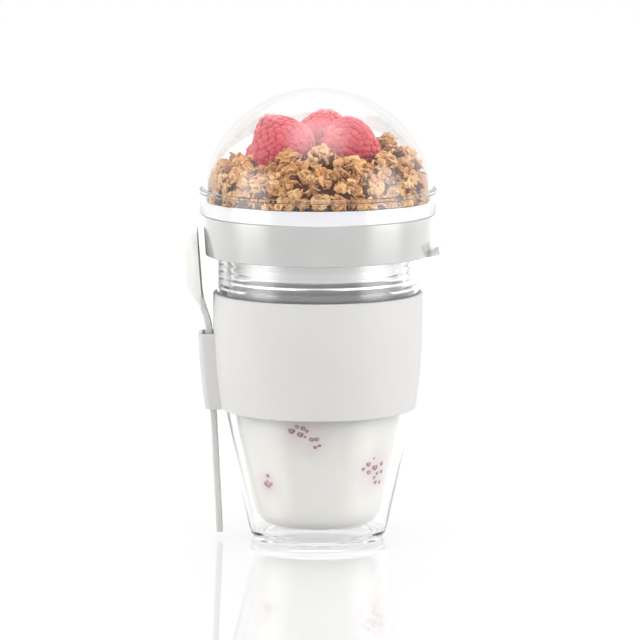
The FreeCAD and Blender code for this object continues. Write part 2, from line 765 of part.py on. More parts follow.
def berry_solid(radius, length, rise):
    """A raspberry along +Z, tip up: rows of drupelets, each row half a step round."""
    rings = []
    for row in range(1, BERRY_STEPS):
        share = row / BERRY_STEPS
        height = length * (share - 0.5)
        # blunt at the stalk end, widest below the middle, and a rounded tip
        waist = math.sin(math.pi * share ** 0.72) ** 0.62
        lift_row = math.sin(math.pi * row / 2) ** 2
        ring = []
        for side in range(BERRY_SIDES):
            turn = 2 * math.pi * side / BERRY_SIDES
            half_step = math.pi * (row // 2 % 2)
            lift_side = 0.5 + 0.5 * math.cos(DRUPELETS_ROUND * turn + half_step)
            reach = radius * waist - rise + rise * lift_row * lift_side
            ring.append(FreeCAD.Vector(
                reach * math.cos(turn), reach * math.sin(turn), height))
        rings.append(ring)
    bottom = FreeCAD.Vector(0, 0, -length / 2)
    top = FreeCAD.Vector(0, 0, length / 2)
    return closed_solid(rings, bottom, top)


def make_berries():
    """The raspberries on the heap, each one solid with its drupelets."""
    berries = []
    for name, (middle, turn, tilt, scale) in BERRIES.items():
        berry = doc.addObject("Part::Feature", name)
        berry.Label = name
        berry.Shape = berry_solid(
            mm.berry_radius.value * scale,
            mm.berry_length.value * scale,
            mm.drupelet_rise.value,
        )
        lay_down = FreeCAD.Rotation(FreeCAD.Vector(0, 1, 0), 90 - tilt)
        swing = FreeCAD.Rotation(FreeCAD.Vector(0, 0, 1), turn)
        berry.Placement = FreeCAD.Placement(
            FreeCAD.Vector(*middle), swing.multiply(lay_down))
        berries.append(berry)
    return berries


# ---- build, test and write ----

def test_document(parts):
    """Stop if any object failed, or if a sub-part isn't one valid solid."""
    for thing in doc.Objects:
        if "Invalid" in thing.State or "Error" in thing.State:
            raise RuntimeError("%s: %s" % (thing.Name, thing.State))
    for part in parts:
        shape = part.Shape
        if shape.isNull() or not shape.isValid() or len(shape.Solids) != 1:
            raise RuntimeError(
                "%s: null %s, solids %d" % (part.Label, shape.isNull(), len(shape.Solids)))


def write_parts(parts):
    os.makedirs("parts", exist_ok=True)
    for part in parts:
        part.Shape.exportStep("parts/%s.step" % part.Label)
        box = part.Shape.optimalBoundingBox()
        print("%-16s volume %9.1f  x %7.2f %7.2f  y %7.2f %7.2f  z %7.2f %7.2f" % (
            part.Label, part.Shape.Volume,
            box.XMin, box.XMax, box.YMin, box.YMax, box.ZMin, box.ZMax))


parts = [
    make_outer_wall(),
    make_liner(),
    make_yogurt(),
    make_band(),
    make_topping_cup(),
    make_dome(),
    make_spoon(),
    make_granola(),
]
parts += make_berries()
doc.recompute()
test_document(parts)
write_parts(parts)
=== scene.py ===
import math
import random

import bmesh
import bpy
from mathutils import Matrix, Vector, noise


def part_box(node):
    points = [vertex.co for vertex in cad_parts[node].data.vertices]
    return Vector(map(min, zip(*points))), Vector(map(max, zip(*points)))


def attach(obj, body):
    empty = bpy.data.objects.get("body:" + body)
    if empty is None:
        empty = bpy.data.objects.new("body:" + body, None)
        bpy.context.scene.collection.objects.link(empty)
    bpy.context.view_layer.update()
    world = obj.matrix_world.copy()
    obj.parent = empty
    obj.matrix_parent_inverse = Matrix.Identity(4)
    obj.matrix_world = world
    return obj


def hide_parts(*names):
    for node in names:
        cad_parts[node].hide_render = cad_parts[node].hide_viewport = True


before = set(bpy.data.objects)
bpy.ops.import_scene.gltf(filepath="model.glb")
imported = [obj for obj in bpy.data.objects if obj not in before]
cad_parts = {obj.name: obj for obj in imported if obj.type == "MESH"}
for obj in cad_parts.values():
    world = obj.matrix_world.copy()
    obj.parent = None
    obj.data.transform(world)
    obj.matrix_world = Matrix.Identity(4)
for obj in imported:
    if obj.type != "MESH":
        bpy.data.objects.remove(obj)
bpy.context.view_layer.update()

# A yogurt jar to carry, filled. Lengths are in millimetres until a point is placed: radii
# from the jar's axis, heights from the table. -X is the spoon's side, -Y the front.

MM = 0.001
MERGE = 1e-7


def heights(node):
    """Lowest and highest point of a CAD node, in millimetres."""
    low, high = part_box(node)
    return low.z / MM, high.z / MM


FLOOR_TOP, YOGURT_LEVEL = heights("yogurt")
LINER_FLOOR, RIM = heights("cup_inner")
BAND_LOW, BAND_TOP = heights("band")
CUP_FOOT, CUP_RIM = heights("topping_cup")
SKIRT_LOW, _ = heights("dome")

# tumbler
FOOT_R = 27.8
SHOULDER_R = 29.2
SHOULDER_Z = 3.8
NECK_R = 42.8
BEND_Z = 67.1
BEND_ROUND = 250.0
WALL = 1.7
BASE = 2.2
SEAM_R = 23.5
SEAM = 0.9
LINER_GAP = 2.4
LINER_ROUND = 9.0
FLANGE = 1.6
RIDGE_START = 108.8
RIDGE_STEP = 3.1
RIDGES = 5
RIDGE_HALF = 1.1
RIDGE_OUT = 0.16
LINER_FIT = 0.05
REACH_IN = 0.3
EDGE = 0.5
# sleeve and loop
BAND_WALL = 1.6
SLEEVE_GAP = 0.03
LOOP_TOP = 88.0
LOOP_REACH = 6.3
LOOP_ROOT = 0.9
LOOP_WIDTH = 17.0
LOOP_WALL = 1.6
LOOP_ROUND = 2.6
# topping cup
PLUG_R = 36.2
PLUG_WALL = 1.8
SHELF = 2.0
COLLAR_LOW = 121.3
COLLAR_LOW_R = 47.6
COLLAR_TOP = 138.3
COLLAR_TOP_R = 48.9
COLLAR_WALL = 2.0
CUP_RIM_R = 46.6
CUP_RIM_WALL = 1.6
DRAFT = 0.4
LID_GAP = 0.02
TAB_LOW = 120.6
TAB_REACH = 5.4
TAB_WIDTH = 15.0
TAB_TURN = -7.0
# dome
DOME_R = 49.0
DOME_RISE = 47.4
DOME_WALL = 1.6
SKIRT_R = 50.2
SKIRT_TOP = 149.4
DOME_FIT = 0.3
# granola
HEAP_EDGE_Z = 154.5
HEAP_TOP = 165.0
CRUST = 2.6
CORE_GAP = 1.3
ROOM = 0.35
# steps round the axis of what is spun
STEPS = 160
FINE_STEPS = 192


# ---- shapes ----

WALL_SLOPE = (NECK_R - SHOULDER_R) / (BEND_Z - SHOULDER_Z)
BEND_TURN = math.atan(WALL_SLOPE)
BEND_HIGH = BEND_Z + BEND_ROUND * math.tan(BEND_TURN / 2)
BEND_LOW = BEND_HIGH - BEND_ROUND * math.sin(BEND_TURN)


def wall_radius(z):
    """Radius of the tumbler's outside: sloping, then a wide round, then upright."""
    if z >= BEND_HIGH:
        return NECK_R
    if z <= BEND_LOW:
        return SHOULDER_R + (z - SHOULDER_Z) * WALL_SLOPE
    return NECK_R - BEND_ROUND + math.sqrt(BEND_ROUND ** 2 - (BEND_HIGH - z) ** 2)


def wall_line(low, high, inset):
    """Points up the tumbler's wall line, moved in, close together on its wide round."""
    steps = 14
    bend = [BEND_LOW + (BEND_HIGH - BEND_LOW) * i / steps for i in range(steps + 1)]
    stops = [low] + [z for z in bend if low < z < high] + [high]
    return [(wall_radius(z) - inset, z) for z in stops]


def dome_line(inset, end_z, steps=44):
    """Points down the dome's ellipse, from its top to a height, moved in."""
    rise = DOME_RISE - inset
    last = math.acos((end_z - CUP_RIM) / rise)
    turns = [last * i / steps for i in range(steps + 1)]
    return [((DOME_R - inset) * math.sin(t), CUP_RIM + rise * math.cos(t)) for t in turns]


def dome_room(z):
    """Radius of the dome's inside at a height."""
    share = (z - CUP_RIM) / (DOME_RISE - DOME_WALL)
    return (DOME_R - DOME_WALL) * math.sqrt(max(0.0, 1 - share * share))


def rounded(corners):
    """Points of an outline whose corners are (across, up) or (across, up, round)."""
    points = []
    for i, corner in enumerate(corners):
        here = Vector(corner[:2])
        if len(corner) == 2:
            points.append(here)
            continue
        back = (Vector(corners[i - 1][:2]) - here).normalized()
        ahead = (Vector(corners[(i + 1) % len(corners)][:2]) - here).normalized()
        half = back.angle(ahead) / 2
        centre = here + (back + ahead).normalized() * corner[2] / math.sin(half)
        spoke = here + back * corner[2] / math.tan(half) - centre
        turn = math.copysign(math.pi - 2 * half, -back.cross(ahead))
        steps = max(3, math.ceil(abs(turn) / math.radians(14)))
        for k in range(steps + 1):
            points.append(centre + Matrix.Rotation(turn * k / steps, 2) @ spoke)
    return points


def spun(corners, steps=STEPS):
    """A closed solid: an outline in the XZ plane, spun round the jar's axis."""
    bm = bmesh.new()
    verts = [bm.verts.new((x * MM, 0, z * MM)) for x, z in rounded(corners)]
    pairs = list(zip(verts, verts[1:] + verts[:1]))
    edges = [bm.edges.new(pair) for pair in pairs if any(abs(v.co.x) > MERGE for v in pair)]
    bmesh.ops.spin(
        bm, geom=verts + edges, cent=(0, 0, 0), axis=(0, 0, 1),
        angle=2 * math.pi, steps=steps, use_merge=True)
    bmesh.ops.remove_doubles(bm, verts=bm.verts, dist=MERGE)
    bmesh.ops.recalc_face_normals(bm, faces=bm.faces)
    return bm


def rounded_off(bm, edges, width):
    """Round edges of a bmesh, by a width in millimetres."""
    bmesh.ops.bevel(
        bm, geom=edges, offset=width * MM, offset_type="OFFSET", affect="EDGES",
        segments=3, profile=0.5, material=-1)


def mesh_from(bm, name):
    """Turn a finished bmesh into a mesh."""
    mesh = bpy.data.meshes.new(name)
    bm.to_mesh(mesh)
    bm.free()
    return mesh


def take_in(bm, mesh):
    """Move all of a mesh into a bmesh."""
    bm.from_mesh(mesh)
    bpy.data.meshes.remove(mesh)


def piece_from(bm, name, material, nodes=(), sharp=38):
    """Make a finished bmesh a piece of the jar that stands for the CAD nodes given. It is
    smooth but for edges of more than sharp degrees."""
    for face in bm.faces:
        face.smooth = True
    for edge in bm.edges:
        if len(edge.link_faces) == 2 and edge.calc_face_angle() > math.radians(sharp):
            edge.smooth = False
    mesh = mesh_from(bm, name)
    mesh.materials.append(material)
    piece = bpy.data.objects.new(name, mesh)
    bpy.context.scene.collection.objects.link(piece)
    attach(piece, "root")
    if nodes:
        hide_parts(*nodes)
    return piece


# ---- materials ----

def colour(code):
    """An sRGB hex value as linear RGBA."""
    parts = [int(code[i:i + 2], 16) / 255 for i in (1, 3, 5)]
    return [p / 12.92 if p <= 0.04045 else ((p + 0.055) / 1.055) ** 2.4 for p in parts] + [1.0]


def add(tree, kind, inputs=None, stops=(), **settings):
    """Add a node: inputs are values or the outputs linked in, stops are the (position, hex)
    of a ramp, and settings are the node's own."""
    node = tree.nodes.new(kind)
    for name, value in settings.items():
        setattr(node, name, value)
    for socket, value in (inputs or {}).items():
        if isinstance(value, bpy.types.NodeSocket):
            tree.links.new(value, node.inputs[socket])
        else:
            node.inputs[socket].default_value = value
    if stops:
        elements = node.color_ramp.elements
        while len(elements) < len(stops):
            elements.new(0.5)
        for element, (position, code) in zip(elements, stops):
            element.position = position
            element.color = colour(code)
    return node


def new_material(name):
    """A material with nothing in it yet but its output, and its Object coordinates."""
    material = bpy.data.materials.new(name)
    material.use_nodes = True
    tree = material.node_tree
    tree.nodes.clear()
    output = add(tree, "ShaderNodeOutputMaterial")
    place = add(tree, "ShaderNodeTexCoord").outputs["Object"]
    return material, tree, output, place


def pattern(size):
    """Scale of a noise whose blotches measure about size millimetres."""
    return 1 / (size * MM)


def clear_plastic(name, density):
    """Moulded clear plastic: colourless, polished, light bent at every edge, a little greyer
    where it is deep. Lamps shine through it, so that what is inside is lit."""
    material, tree, output, place = new_material(name)
    ripple = add(tree, "ShaderNodeTexNoise", {
        "Vector": place, "Scale": pattern(26.0), "Detail": 0.0}).outputs["Fac"]
    relief = add(tree, "ShaderNodeBump", {
        "Height": ripple, "Distance": 0.06 * MM, "Strength": 0.15}).outputs["Normal"]
    shell = add(tree, "ShaderNodeBsdfPrincipled", {
        "Base Color": colour("#FEFEFE"), "Roughness": 0.01, "IOR": 1.5,
        "Transmission Weight": 1.0, "Normal": relief,
    })
    open_way = add(tree, "ShaderNodeBsdfTransparent", {"Color": colour("#FFFFFF")})
    lamp = add(tree, "ShaderNodeLightPath").outputs["Is Shadow Ray"]
    mix = add(tree, "ShaderNodeMixShader", {
        0: lamp, 1: shell.outputs[0], 2: open_way.outputs[0]})
    tree.links.new(mix.outputs[0], output.inputs["Surface"])
    tint = add(tree, "ShaderNodeVolumeAbsorption", {
        "Color": colour("#BCBDBD"), "Density": density})
    tree.links.new(tint.outputs[0], output.inputs["Volume"])
    return material


# painted light and shade on the white cup: over how many millimetres of height its darker collar
# turns into its paler rim and plug
PAINTED_LIGHT_FADE = 0.6
# painted light: the radii, in millimetres, over which the tab turns paler than the collar
TAB_PAINTED_LIGHT_FROM = COLLAR_TOP_R + 0.3
TAB_PAINTED_LIGHT_FULL = COLLAR_TOP_R + 0.7


def white_polypropylene():
    """Injection-moulded white polypropylene, polished: wide soft highlights, for which its
    IOR is above the plain plastic's 1.49. Its colour holds painted light and shade: the
    collar is painted darker, as shade, and the rim, plug and tab paler, as light."""
    material, tree, output, place = new_material("white_polypropylene_moulded")
    flow = add(tree, "ShaderNodeTexNoise", {
        "Vector": place, "Scale": pattern(14.0), "Detail": 3.0}).outputs["Fac"]
    # the collar's grey, darker than the rest of the cup: painted shade
    shade = add(tree, "ShaderNodeValToRGB", {"Fac": flow}, stops=(
        (0.3, "#B6B5B3"), (0.7, "#BBBAB8"))).outputs["Color"]
    height = add(tree, "ShaderNodeSeparateXYZ", {0: place}).outputs["Z"]
    # painted light: the rim above the collar and the plug below it are paler
    for low, high, code in ((COLLAR_TOP, COLLAR_TOP + PAINTED_LIGHT_FADE, "#DBDBE0"),
                            (COLLAR_LOW, COLLAR_LOW - PAINTED_LIGHT_FADE, "#EFEFEE")):
        painted_light_zone = add(tree, "ShaderNodeMapRange", {
            "Value": height, "From Min": low * MM, "From Max": high * MM})
        shade = add(tree, "ShaderNodeMix", {
            0: painted_light_zone.outputs[0], 6: shade, 7: colour(code)}, data_type="RGBA").outputs[2]
    # painted light: out past the collar, the tab is paler
    flat = add(tree, "ShaderNodeVectorMath", {0: place, 1: (1, 1, 0)}, operation="MULTIPLY")
    reach = add(tree, "ShaderNodeVectorMath", {0: flat.outputs[0]}, operation="LENGTH")
    tab = add(tree, "ShaderNodeMapRange", {
        "Value": reach.outputs["Value"], "From Min": TAB_PAINTED_LIGHT_FROM * MM,
        "From Max": TAB_PAINTED_LIGHT_FULL * MM})
    shade = add(tree, "ShaderNodeMix", {
        0: tab.outputs[0], 6: shade, 7: colour("#DEDEDD")}, data_type="RGBA").outputs[2]
    grain = add(tree, "ShaderNodeTexNoise", {
        "Vector": place, "Scale": pattern(0.9), "Detail": 3.0}).outputs["Fac"]
    relief = add(tree, "ShaderNodeBump", {
        "Height": grain, "Distance": 0.004 * MM}).outputs["Normal"]
    body = add(tree, "ShaderNodeBsdfPrincipled", {
        "Base Color": shade, "Roughness": 0.12, "IOR": 2.1,
        "Coat Weight": 1.0, "Coat Roughness": 0.08,
        "Subsurface Weight": 0.12, "Subsurface Radius": (1.0, 1.0, 1.0),
        "Subsurface Scale": 1.2 * MM, "Normal": relief,
    })
    tree.links.new(body.outputs[0], output.inputs["Surface"])
    return material


def silicone():
    """White silicone rubber from a blasted mould: matte, softly shaded, a fine even tooth."""
    material, tree, output, place = new_material("white_silicone_moulded")
    handled = add(tree, "ShaderNodeTexNoise", {
        "Vector": place, "Scale": pattern(30.0), "Detail": 3.0}).outputs["Fac"]
    shade = add(tree, "ShaderNodeValToRGB", {"Fac": handled}, stops=(
        (0.3, "#CECDCC"), (0.7, "#D2D1D0"))).outputs["Color"]
    # the blasted tooth is really 0.1 mm across; drawn at 0.5 mm so that it shows
    tooth = add(tree, "ShaderNodeTexNoise", {
        "Vector": place, "Scale": pattern(0.5), "Detail": 3.0}).outputs["Fac"]
    relief = add(tree, "ShaderNodeBump", {
        "Height": tooth, "Distance": 0.03 * MM}).outputs["Normal"]
    body = add(tree, "ShaderNodeBsdfPrincipled", {
        "Base Color": shade, "Roughness": 0.62, "IOR": 1.41,
        "Sheen Weight": 0.15, "Sheen Roughness": 0.5,
        "Normal": relief,
    })
    tree.links.new(body.outputs[0], output.inputs["Surface"])
    return material


def spoon_plastic():
    """Moulded pale grey polypropylene of the spoon: satin, with faint flow marks."""
    material, tree, output, place = new_material("pale_polypropylene_satin")
    stretch = add(tree, "ShaderNodeMapping", {"Vector": place, "Scale": (1, 1, 0.15)})
    flow = add(tree, "ShaderNodeTexNoise", {
        "Vector": stretch.outputs["Vector"], "Scale": pattern(3.0), "Detail": 3.0}).outputs["Fac"]
    shade = add(tree, "ShaderNodeValToRGB", {"Fac": flow}, stops=(
        (0.3, "#DADAD6"), (0.7, "#DFDFDC"))).outputs["Color"]
    relief = add(tree, "ShaderNodeBump", {
        "Height": flow, "Distance": 0.01 * MM}).outputs["Normal"]
    body = add(tree, "ShaderNodeBsdfPrincipled", {
        "Base Color": shade, "Roughness": 0.3, "IOR": 1.49,
        "Normal": relief,
    })
    tree.links.new(body.outputs[0], output.inputs["Surface"])
    return material


# Fruit pieces that lie against the liner: (turn from the front, height), then the drupelets
# (across, up, radius) of the group.
FRUIT_IN_YOGURT = {
    "front": ((-8.0, 49.0), [
        (-6.2, 2.0, 1.3), (-4.0, 3.8, 0.8), (-1.4, 3.2, 0.9), (0.1, 2.0, 0.7),
        (-2.6, 0.5, 1.2), (-0.6, -0.6, 0.5), (2.0, -1.6, 0.9), (4.1, -1.4, 0.9),
        (3.4, -5.0, 0.7), (5.1, -4.3, 0.6)]),
    "left": ((-45.0, 27.0), [
        (0.6, 3.2, 0.8), (-1.2, -0.4, 1.0), (0.2, -1.4, 0.9), (1.6, -0.2, 0.8),
        (-0.1, 0.5, 0.6)]),
    "right": ((51.0, 32.0), [
        (-7.0, 1.5, 0.8), (-4.6, 3.4, 1.1), (-0.6, 1.7, 1.5), (-3.7, -0.2, 1.0),
        (3.5, 2.7, 1.0), (4.5, -1.0, 0.9), (1.5, -1.3, 0.8), (0.1, -3.0, 0.8),
        (1.4, -5.2, 0.9), (4.4, -5.6, 0.8), (-2.0, 5.6, 0.5)]),
    "back": ((168.0, 40.0), [
        (-3.2, 1.7, 1.1), (-0.6, 2.8, 1.2), (2.0, 1.7, 1.0), (-1.6, -0.6, 1.2),
        (1.2, -1.0, 1.1), (-0.4, -3.3, 0.9)]),
    "back_left": ((-128.0, 34.0), [
        (-1.6, 1.2, 1.2), (1.3, 1.8, 1.1), (0.2, -1.3, 1.2), (3.0, -0.6, 0.8)]),
    "back_right": ((118.0, 24.0), [
        (-2.1, 0.4, 1.0), (0.4, 1.6, 1.2), (2.8, 0.0, 0.9), (0.6, -1.7, 1.0)]),
}


def on_liner(turn, z, across, up, inset):
    """A point on the liner's inside, across and up from a place on it."""
    radius = wall_radius(z + up) - LINER_GAP - 2 * WALL + inset
    angle = math.radians(turn) + across / radius
    return Vector((radius * math.sin(angle), -radius * math.cos(angle), z + up)) * MM


def yogurt():
    """Set plain yogurt: dense, white with a touch of cream, light spreads a little inside it.
    Juice tints it pink round each piece of fruit."""
    material, tree, output, place = new_material("plain_yogurt_set")
    curd = add(tree, "ShaderNodeTexNoise", {
        "Vector": place, "Scale": pattern(9.0), "Detail": 3.0}).outputs["Fac"]
    relief = add(tree, "ShaderNodeBump", {
        "Height": curd, "Distance": 0.15 * MM, "Strength": 0.5}).outputs["Normal"]
    rag = add(tree, "ShaderNodeTexNoise", {
        "Vector": place, "Scale": pattern(3.5), "Detail": 3.0}).outputs["Fac"]
    shade = add(tree, "ShaderNodeValToRGB", {"Fac": curd}, stops=(
        (0.3, "#F6F4EE"), (0.7, "#FAF8F4"))).outputs["Color"]
    for (turn, z), drupelets in FRUIT_IN_YOGURT.values():
        middle = on_liner(turn, z, 0, 0, 0)
        away = add(tree, "ShaderNodeVectorMath", {0: place, 1: middle}, operation="DISTANCE")
        ragged = add(tree, "ShaderNodeMath", {
            0: rag, 1: 5.0 * MM, 2: away.outputs["Value"],
        }, operation="MULTIPLY_ADD")
        spread = (3.0 + 0.55 * len(drupelets)) * MM
        halo = add(tree, "ShaderNodeMapRange", {
            "Value": ragged.outputs[0], "From Min": spread, "From Max": spread * 1.9,
            "To Min": 0.26, "To Max": 0.0,
        }, interpolation_type="SMOOTHSTEP")
        shade = add(tree, "ShaderNodeMix", {
            0: halo.outputs[0], 6: shade, 7: colour("#E2C8D6")}, data_type="RGBA").outputs[2]
    body = add(tree, "ShaderNodeBsdfPrincipled", {
        "Base Color": shade, "Roughness": 0.42, "IOR": 1.35,
        "Subsurface Weight": 0.5, "Subsurface Radius": (1.0, 0.9, 0.8),
        "Subsurface Scale": 4.0 * MM, "Normal": relief,
    })
    tree.links.new(body.outputs[0], output.inputs["Surface"])
    return material


def fruit_under_yogurt():
    """Soft raspberry drupelets against the clear wall, veiled by yogurt: each one is a dusky
    ring with a paler middle. Attribute ring runs from its middle to its edge."""
    material, tree, output, place = new_material("raspberry_drupelets_in_yogurt")
    ring = add(tree, "ShaderNodeAttribute", attribute_name="ring").outputs["Fac"]
    shade = add(tree, "ShaderNodeValToRGB", {"Fac": ring}, stops=(
        (0.1, "#D8A6B6"), (0.5, "#A4566F"), (0.8, "#7C3452"), (1.0, "#D9B4C0"),
    )).outputs["Color"]
    smear = add(tree, "ShaderNodeTexNoise", {
        "Vector": place, "Scale": pattern(1.6), "Detail": 3.0}).outputs["Fac"]
    veil = add(tree, "ShaderNodeMapRange", {
        "Value": smear, "From Min": 0.4, "From Max": 0.7,
        "To Min": 0.0, "To Max": 0.6})
    shade = add(tree, "ShaderNodeMix", {
        0: veil.outputs[0], 6: shade, 7: colour("#D9BFC8")}, data_type="RGBA").outputs[2]
    body = add(tree, "ShaderNodeBsdfPrincipled", {
        "Base Color": shade, "Roughness": 0.4, "IOR": 1.36,
        "Subsurface Weight": 0.15, "Subsurface Radius": (1.0, 0.5, 0.5),
        "Subsurface Scale": 0.6 * MM,
    })
    tree.links.new(body.outputs[0], output.inputs["Surface"])
    return material


def raspberry_skin():
    """Ripe raspberry: taut translucent red drupelets with a faint bloom, darker between them,
    where the body's tint is painted shade.
    """
    material, tree, output, place = new_material("raspberry_ripe")
    tint = add(tree, "ShaderNodeAttribute", attribute_name="tint").outputs["Fac"]
    shade = add(tree, "ShaderNodeValToRGB", {"Fac": tint}, stops=(
        (0.0, "#9E1E30"), (0.5, "#BA3040"), (1.0, "#CA4854"))).outputs["Color"]
    blotch = add(tree, "ShaderNodeTexNoise", {
        "Vector": place, "Scale": pattern(2.2), "Detail": 3.0}).outputs["Fac"]
    faint = add(tree, "ShaderNodeMapRange", {
        "Value": blotch, "From Min": 0.35, "From Max": 0.7, "To Min": 0.0, "To Max": 0.35})
    shade = add(tree, "ShaderNodeMix", {
        0: faint.outputs[0], 6: shade, 7: colour("#DE6470")}, data_type="RGBA").outputs[2]
    pore = add(tree, "ShaderNodeTexNoise", {
        "Vector": place, "Scale": pattern(0.5), "Detail": 3.0}).outputs["Fac"]
    relief = add(tree, "ShaderNodeBump", {
        "Height": pore, "Distance": 0.05 * MM, "Strength": 0.6}).outputs["Normal"]
    body = add(tree, "ShaderNodeBsdfPrincipled", {
        "Base Color": shade, "Roughness": 0.34, "IOR": 1.38,
        "Subsurface Weight": 0.55, "Subsurface Radius": (1.0, 0.25, 0.2),
        "Subsurface Scale": 2.4 * MM,
        "Sheen Weight": 1.0, "Sheen Roughness": 0.3, "Sheen Tint": colour("#FFE4E6"),
        "Normal": relief,
    })
    tree.links.new(body.outputs[0], output.inputs["Surface"])
    return material


def baked_oats(name, dark, middle, light, edge, gloss):
    """Oats baked in honey: dry and golden, browned in patches, paler along broken edges.
    Attribute tint is how light a piece was baked, lowered as painted shade on flakes deep in
    a cluster and on the core; rim is how near a point is to its edge."""
    material, tree, output, place = new_material(name)
    tint = add(tree, "ShaderNodeAttribute", attribute_name="tint").outputs["Fac"]
    rim = add(tree, "ShaderNodeAttribute", attribute_name="rim").outputs["Fac"]
    shade = add(tree, "ShaderNodeValToRGB", {"Fac": tint}, stops=(
        (0.0, dark), (0.5, middle), (1.0, light))).outputs["Color"]
    browning = add(tree, "ShaderNodeTexNoise", {
        "Vector": place, "Scale": pattern(5.0), "Detail": 3.0}).outputs["Fac"]
    burnt = add(tree, "ShaderNodeMapRange", {
        "Value": browning, "From Min": 0.45, "From Max": 0.75, "To Min": 0.0, "To Max": 0.5})
    shade = add(tree, "ShaderNodeMix", {
        0: burnt.outputs[0], 6: shade, 7: colour(dark)}, data_type="RGBA").outputs[2]
    fibre = add(tree, "ShaderNodeTexNoise", {
        "Vector": place, "Scale": pattern(0.9), "Detail": 4.0}).outputs["Fac"]
    relief = add(tree, "ShaderNodeBump", {
        "Height": fibre, "Distance": 0.25 * MM}).outputs["Normal"]
    streaks = add(tree, "ShaderNodeValToRGB", {"Fac": fibre}, stops=(
        (0.3, "#8C8C8C"), (0.7, "#FFFFFF"))).outputs["Color"]
    shade = add(tree, "ShaderNodeMix", {
        0: 0.5, 6: shade, 7: streaks}, data_type="RGBA", blend_type="MULTIPLY").outputs[2]
    shade = add(tree, "ShaderNodeMix", {
        0: rim, 6: shade, 7: colour(edge)}, data_type="RGBA").outputs[2]
    body = add(tree, "ShaderNodeBsdfPrincipled", {
        "Base Color": shade, "Roughness": gloss, "Specular IOR Level": 0.2,
        "Subsurface Weight": 0.12, "Subsurface Radius": (1.0, 0.6, 0.3),
        "Subsurface Scale": 0.8 * MM, "Normal": relief,
    })
    tree.links.new(body.outputs[0], output.inputs["Surface"])
    return material


# The materials that the pieces below name. A clear plastic's number is how fast it greys with
# depth, per metre; an oat's colours run from its darkest to its edges', and then comes its
# roughness.
CLEAR = clear_plastic("clear_copolyester_moulded", 4.0)
CLEAR_LID = clear_plastic("clear_polystyrene_moulded", 26.0)
RASPBERRY = raspberry_skin()
# the core's crumb, darkened as painted shade between the clusters
CRUMB_IN_PAINTED_SHADE = baked_oats("oat_crumb_painted_shade", "#421C08", "#7E421A", "#A05C28", "#BC783C", 0.8)
CLUSTER = baked_oats("oat_cluster_baked", "#5E2C0A", "#A86226", "#D8924C", "#EAB478", 0.6)
FLAKE = baked_oats("oat_flake_honeyed", "#7A360C", "#DE9244", "#FFCE90", "#FFE2B8", 0.45)


# ---- the tumbler ----

def make_outer_shell():
    """The clear outer wall with its foot, the welded seam under its base and the thread
    for the lid round its neck."""
    inside_foot = wall_radius(SHOULDER_Z) - WALL
    corners = [
        (0, 0), (SEAM_R - SEAM, 0), (SEAM_R - SEAM / 2, SEAM * 0.7), (SEAM_R, 0),
        (FOOT_R, 0, EDGE), (SHOULDER_R, SHOULDER_Z, 0.8),
    ]
    corners += wall_line(SHOULDER_Z + 3, BAND_TOP, 0)
    for i in range(RIDGES):
        middle = RIDGE_START + i * RIDGE_STEP
        corners += [
            (NECK_R, middle - RIDGE_HALF, 0.6), (NECK_R + RIDGE_OUT, middle, 0.7),
            (NECK_R, middle + RIDGE_HALF, 0.6),
        ]
    corners += [(NECK_R, RIM, EDGE), (NECK_R - WALL, RIM)]
    corners += reversed(wall_line(SHOULDER_Z + 3, BAND_TOP, WALL))
    corners += [
        (inside_foot, SHOULDER_Z + EDGE, 0.8),
        (inside_foot - (SHOULDER_R - FOOT_R), BASE, EDGE), (0, BASE),
    ]
    return piece_from(spun(corners), "outer_shell", CLEAR, ["cup_outer"])


def make_liner():
    """The clear inner wall, with its flange at the rim."""
    outer = WALL + LINER_GAP
    inner = outer + WALL
    corners = [(0, LINER_FLOOR), (wall_radius(LINER_FLOOR) - outer, LINER_FLOOR, LINER_ROUND)]
    corners += wall_line(LINER_FLOOR + LINER_ROUND + 1, BAND_TOP, outer)
    corners += [
        (NECK_R - outer, RIM - FLANGE), (NECK_R - WALL - LINER_FIT, RIM - FLANGE),
        (NECK_R - WALL - LINER_FIT, RIM), (NECK_R - inner, RIM, EDGE),
    ]
    corners += reversed(wall_line(FLOOR_TOP + LINER_ROUND, BAND_TOP, inner))
    corners += [
        (wall_radius(FLOOR_TOP) - inner, FLOOR_TOP, LINER_ROUND - WALL), (0, FLOOR_TOP)]
    return piece_from(spun(corners), "liner", CLEAR, ["cup_inner"])


def make_yogurt():
    """The yogurt. It reaches a little into the liner's wall, so that no air shows, and its
    top is spooned level in soft ridges."""
    inset = 2 * WALL + LINER_GAP - REACH_IN
    floor = FLOOR_TOP - REACH_IN
    corners = [(0, floor), (wall_radius(floor) - inset, floor, LINER_ROUND - WALL)]
    corners += wall_line(floor + LINER_ROUND, YOGURT_LEVEL, inset)
    edge = wall_radius(YOGURT_LEVEL) - inset
    rings = 14
    corners += [(edge * (1 - i / rings), YOGURT_LEVEL) for i in range(1, rings + 1)]
    bm = spun(corners, steps=96)
    for vert in bm.verts:
        if vert.co.z > (YOGURT_LEVEL - 0.1) * MM:
            share = vert.co.xy.length / MM / edge
            ridges = noise.noise(vert.co / MM * 0.07 + Vector((3, 1, 0)))
            vert.co.z -= (0.9 + 0.8 * ridges) * (1 - share ** 6) * MM
    return piece_from(bm, "yogurt_fill", yogurt(), ["yogurt"])


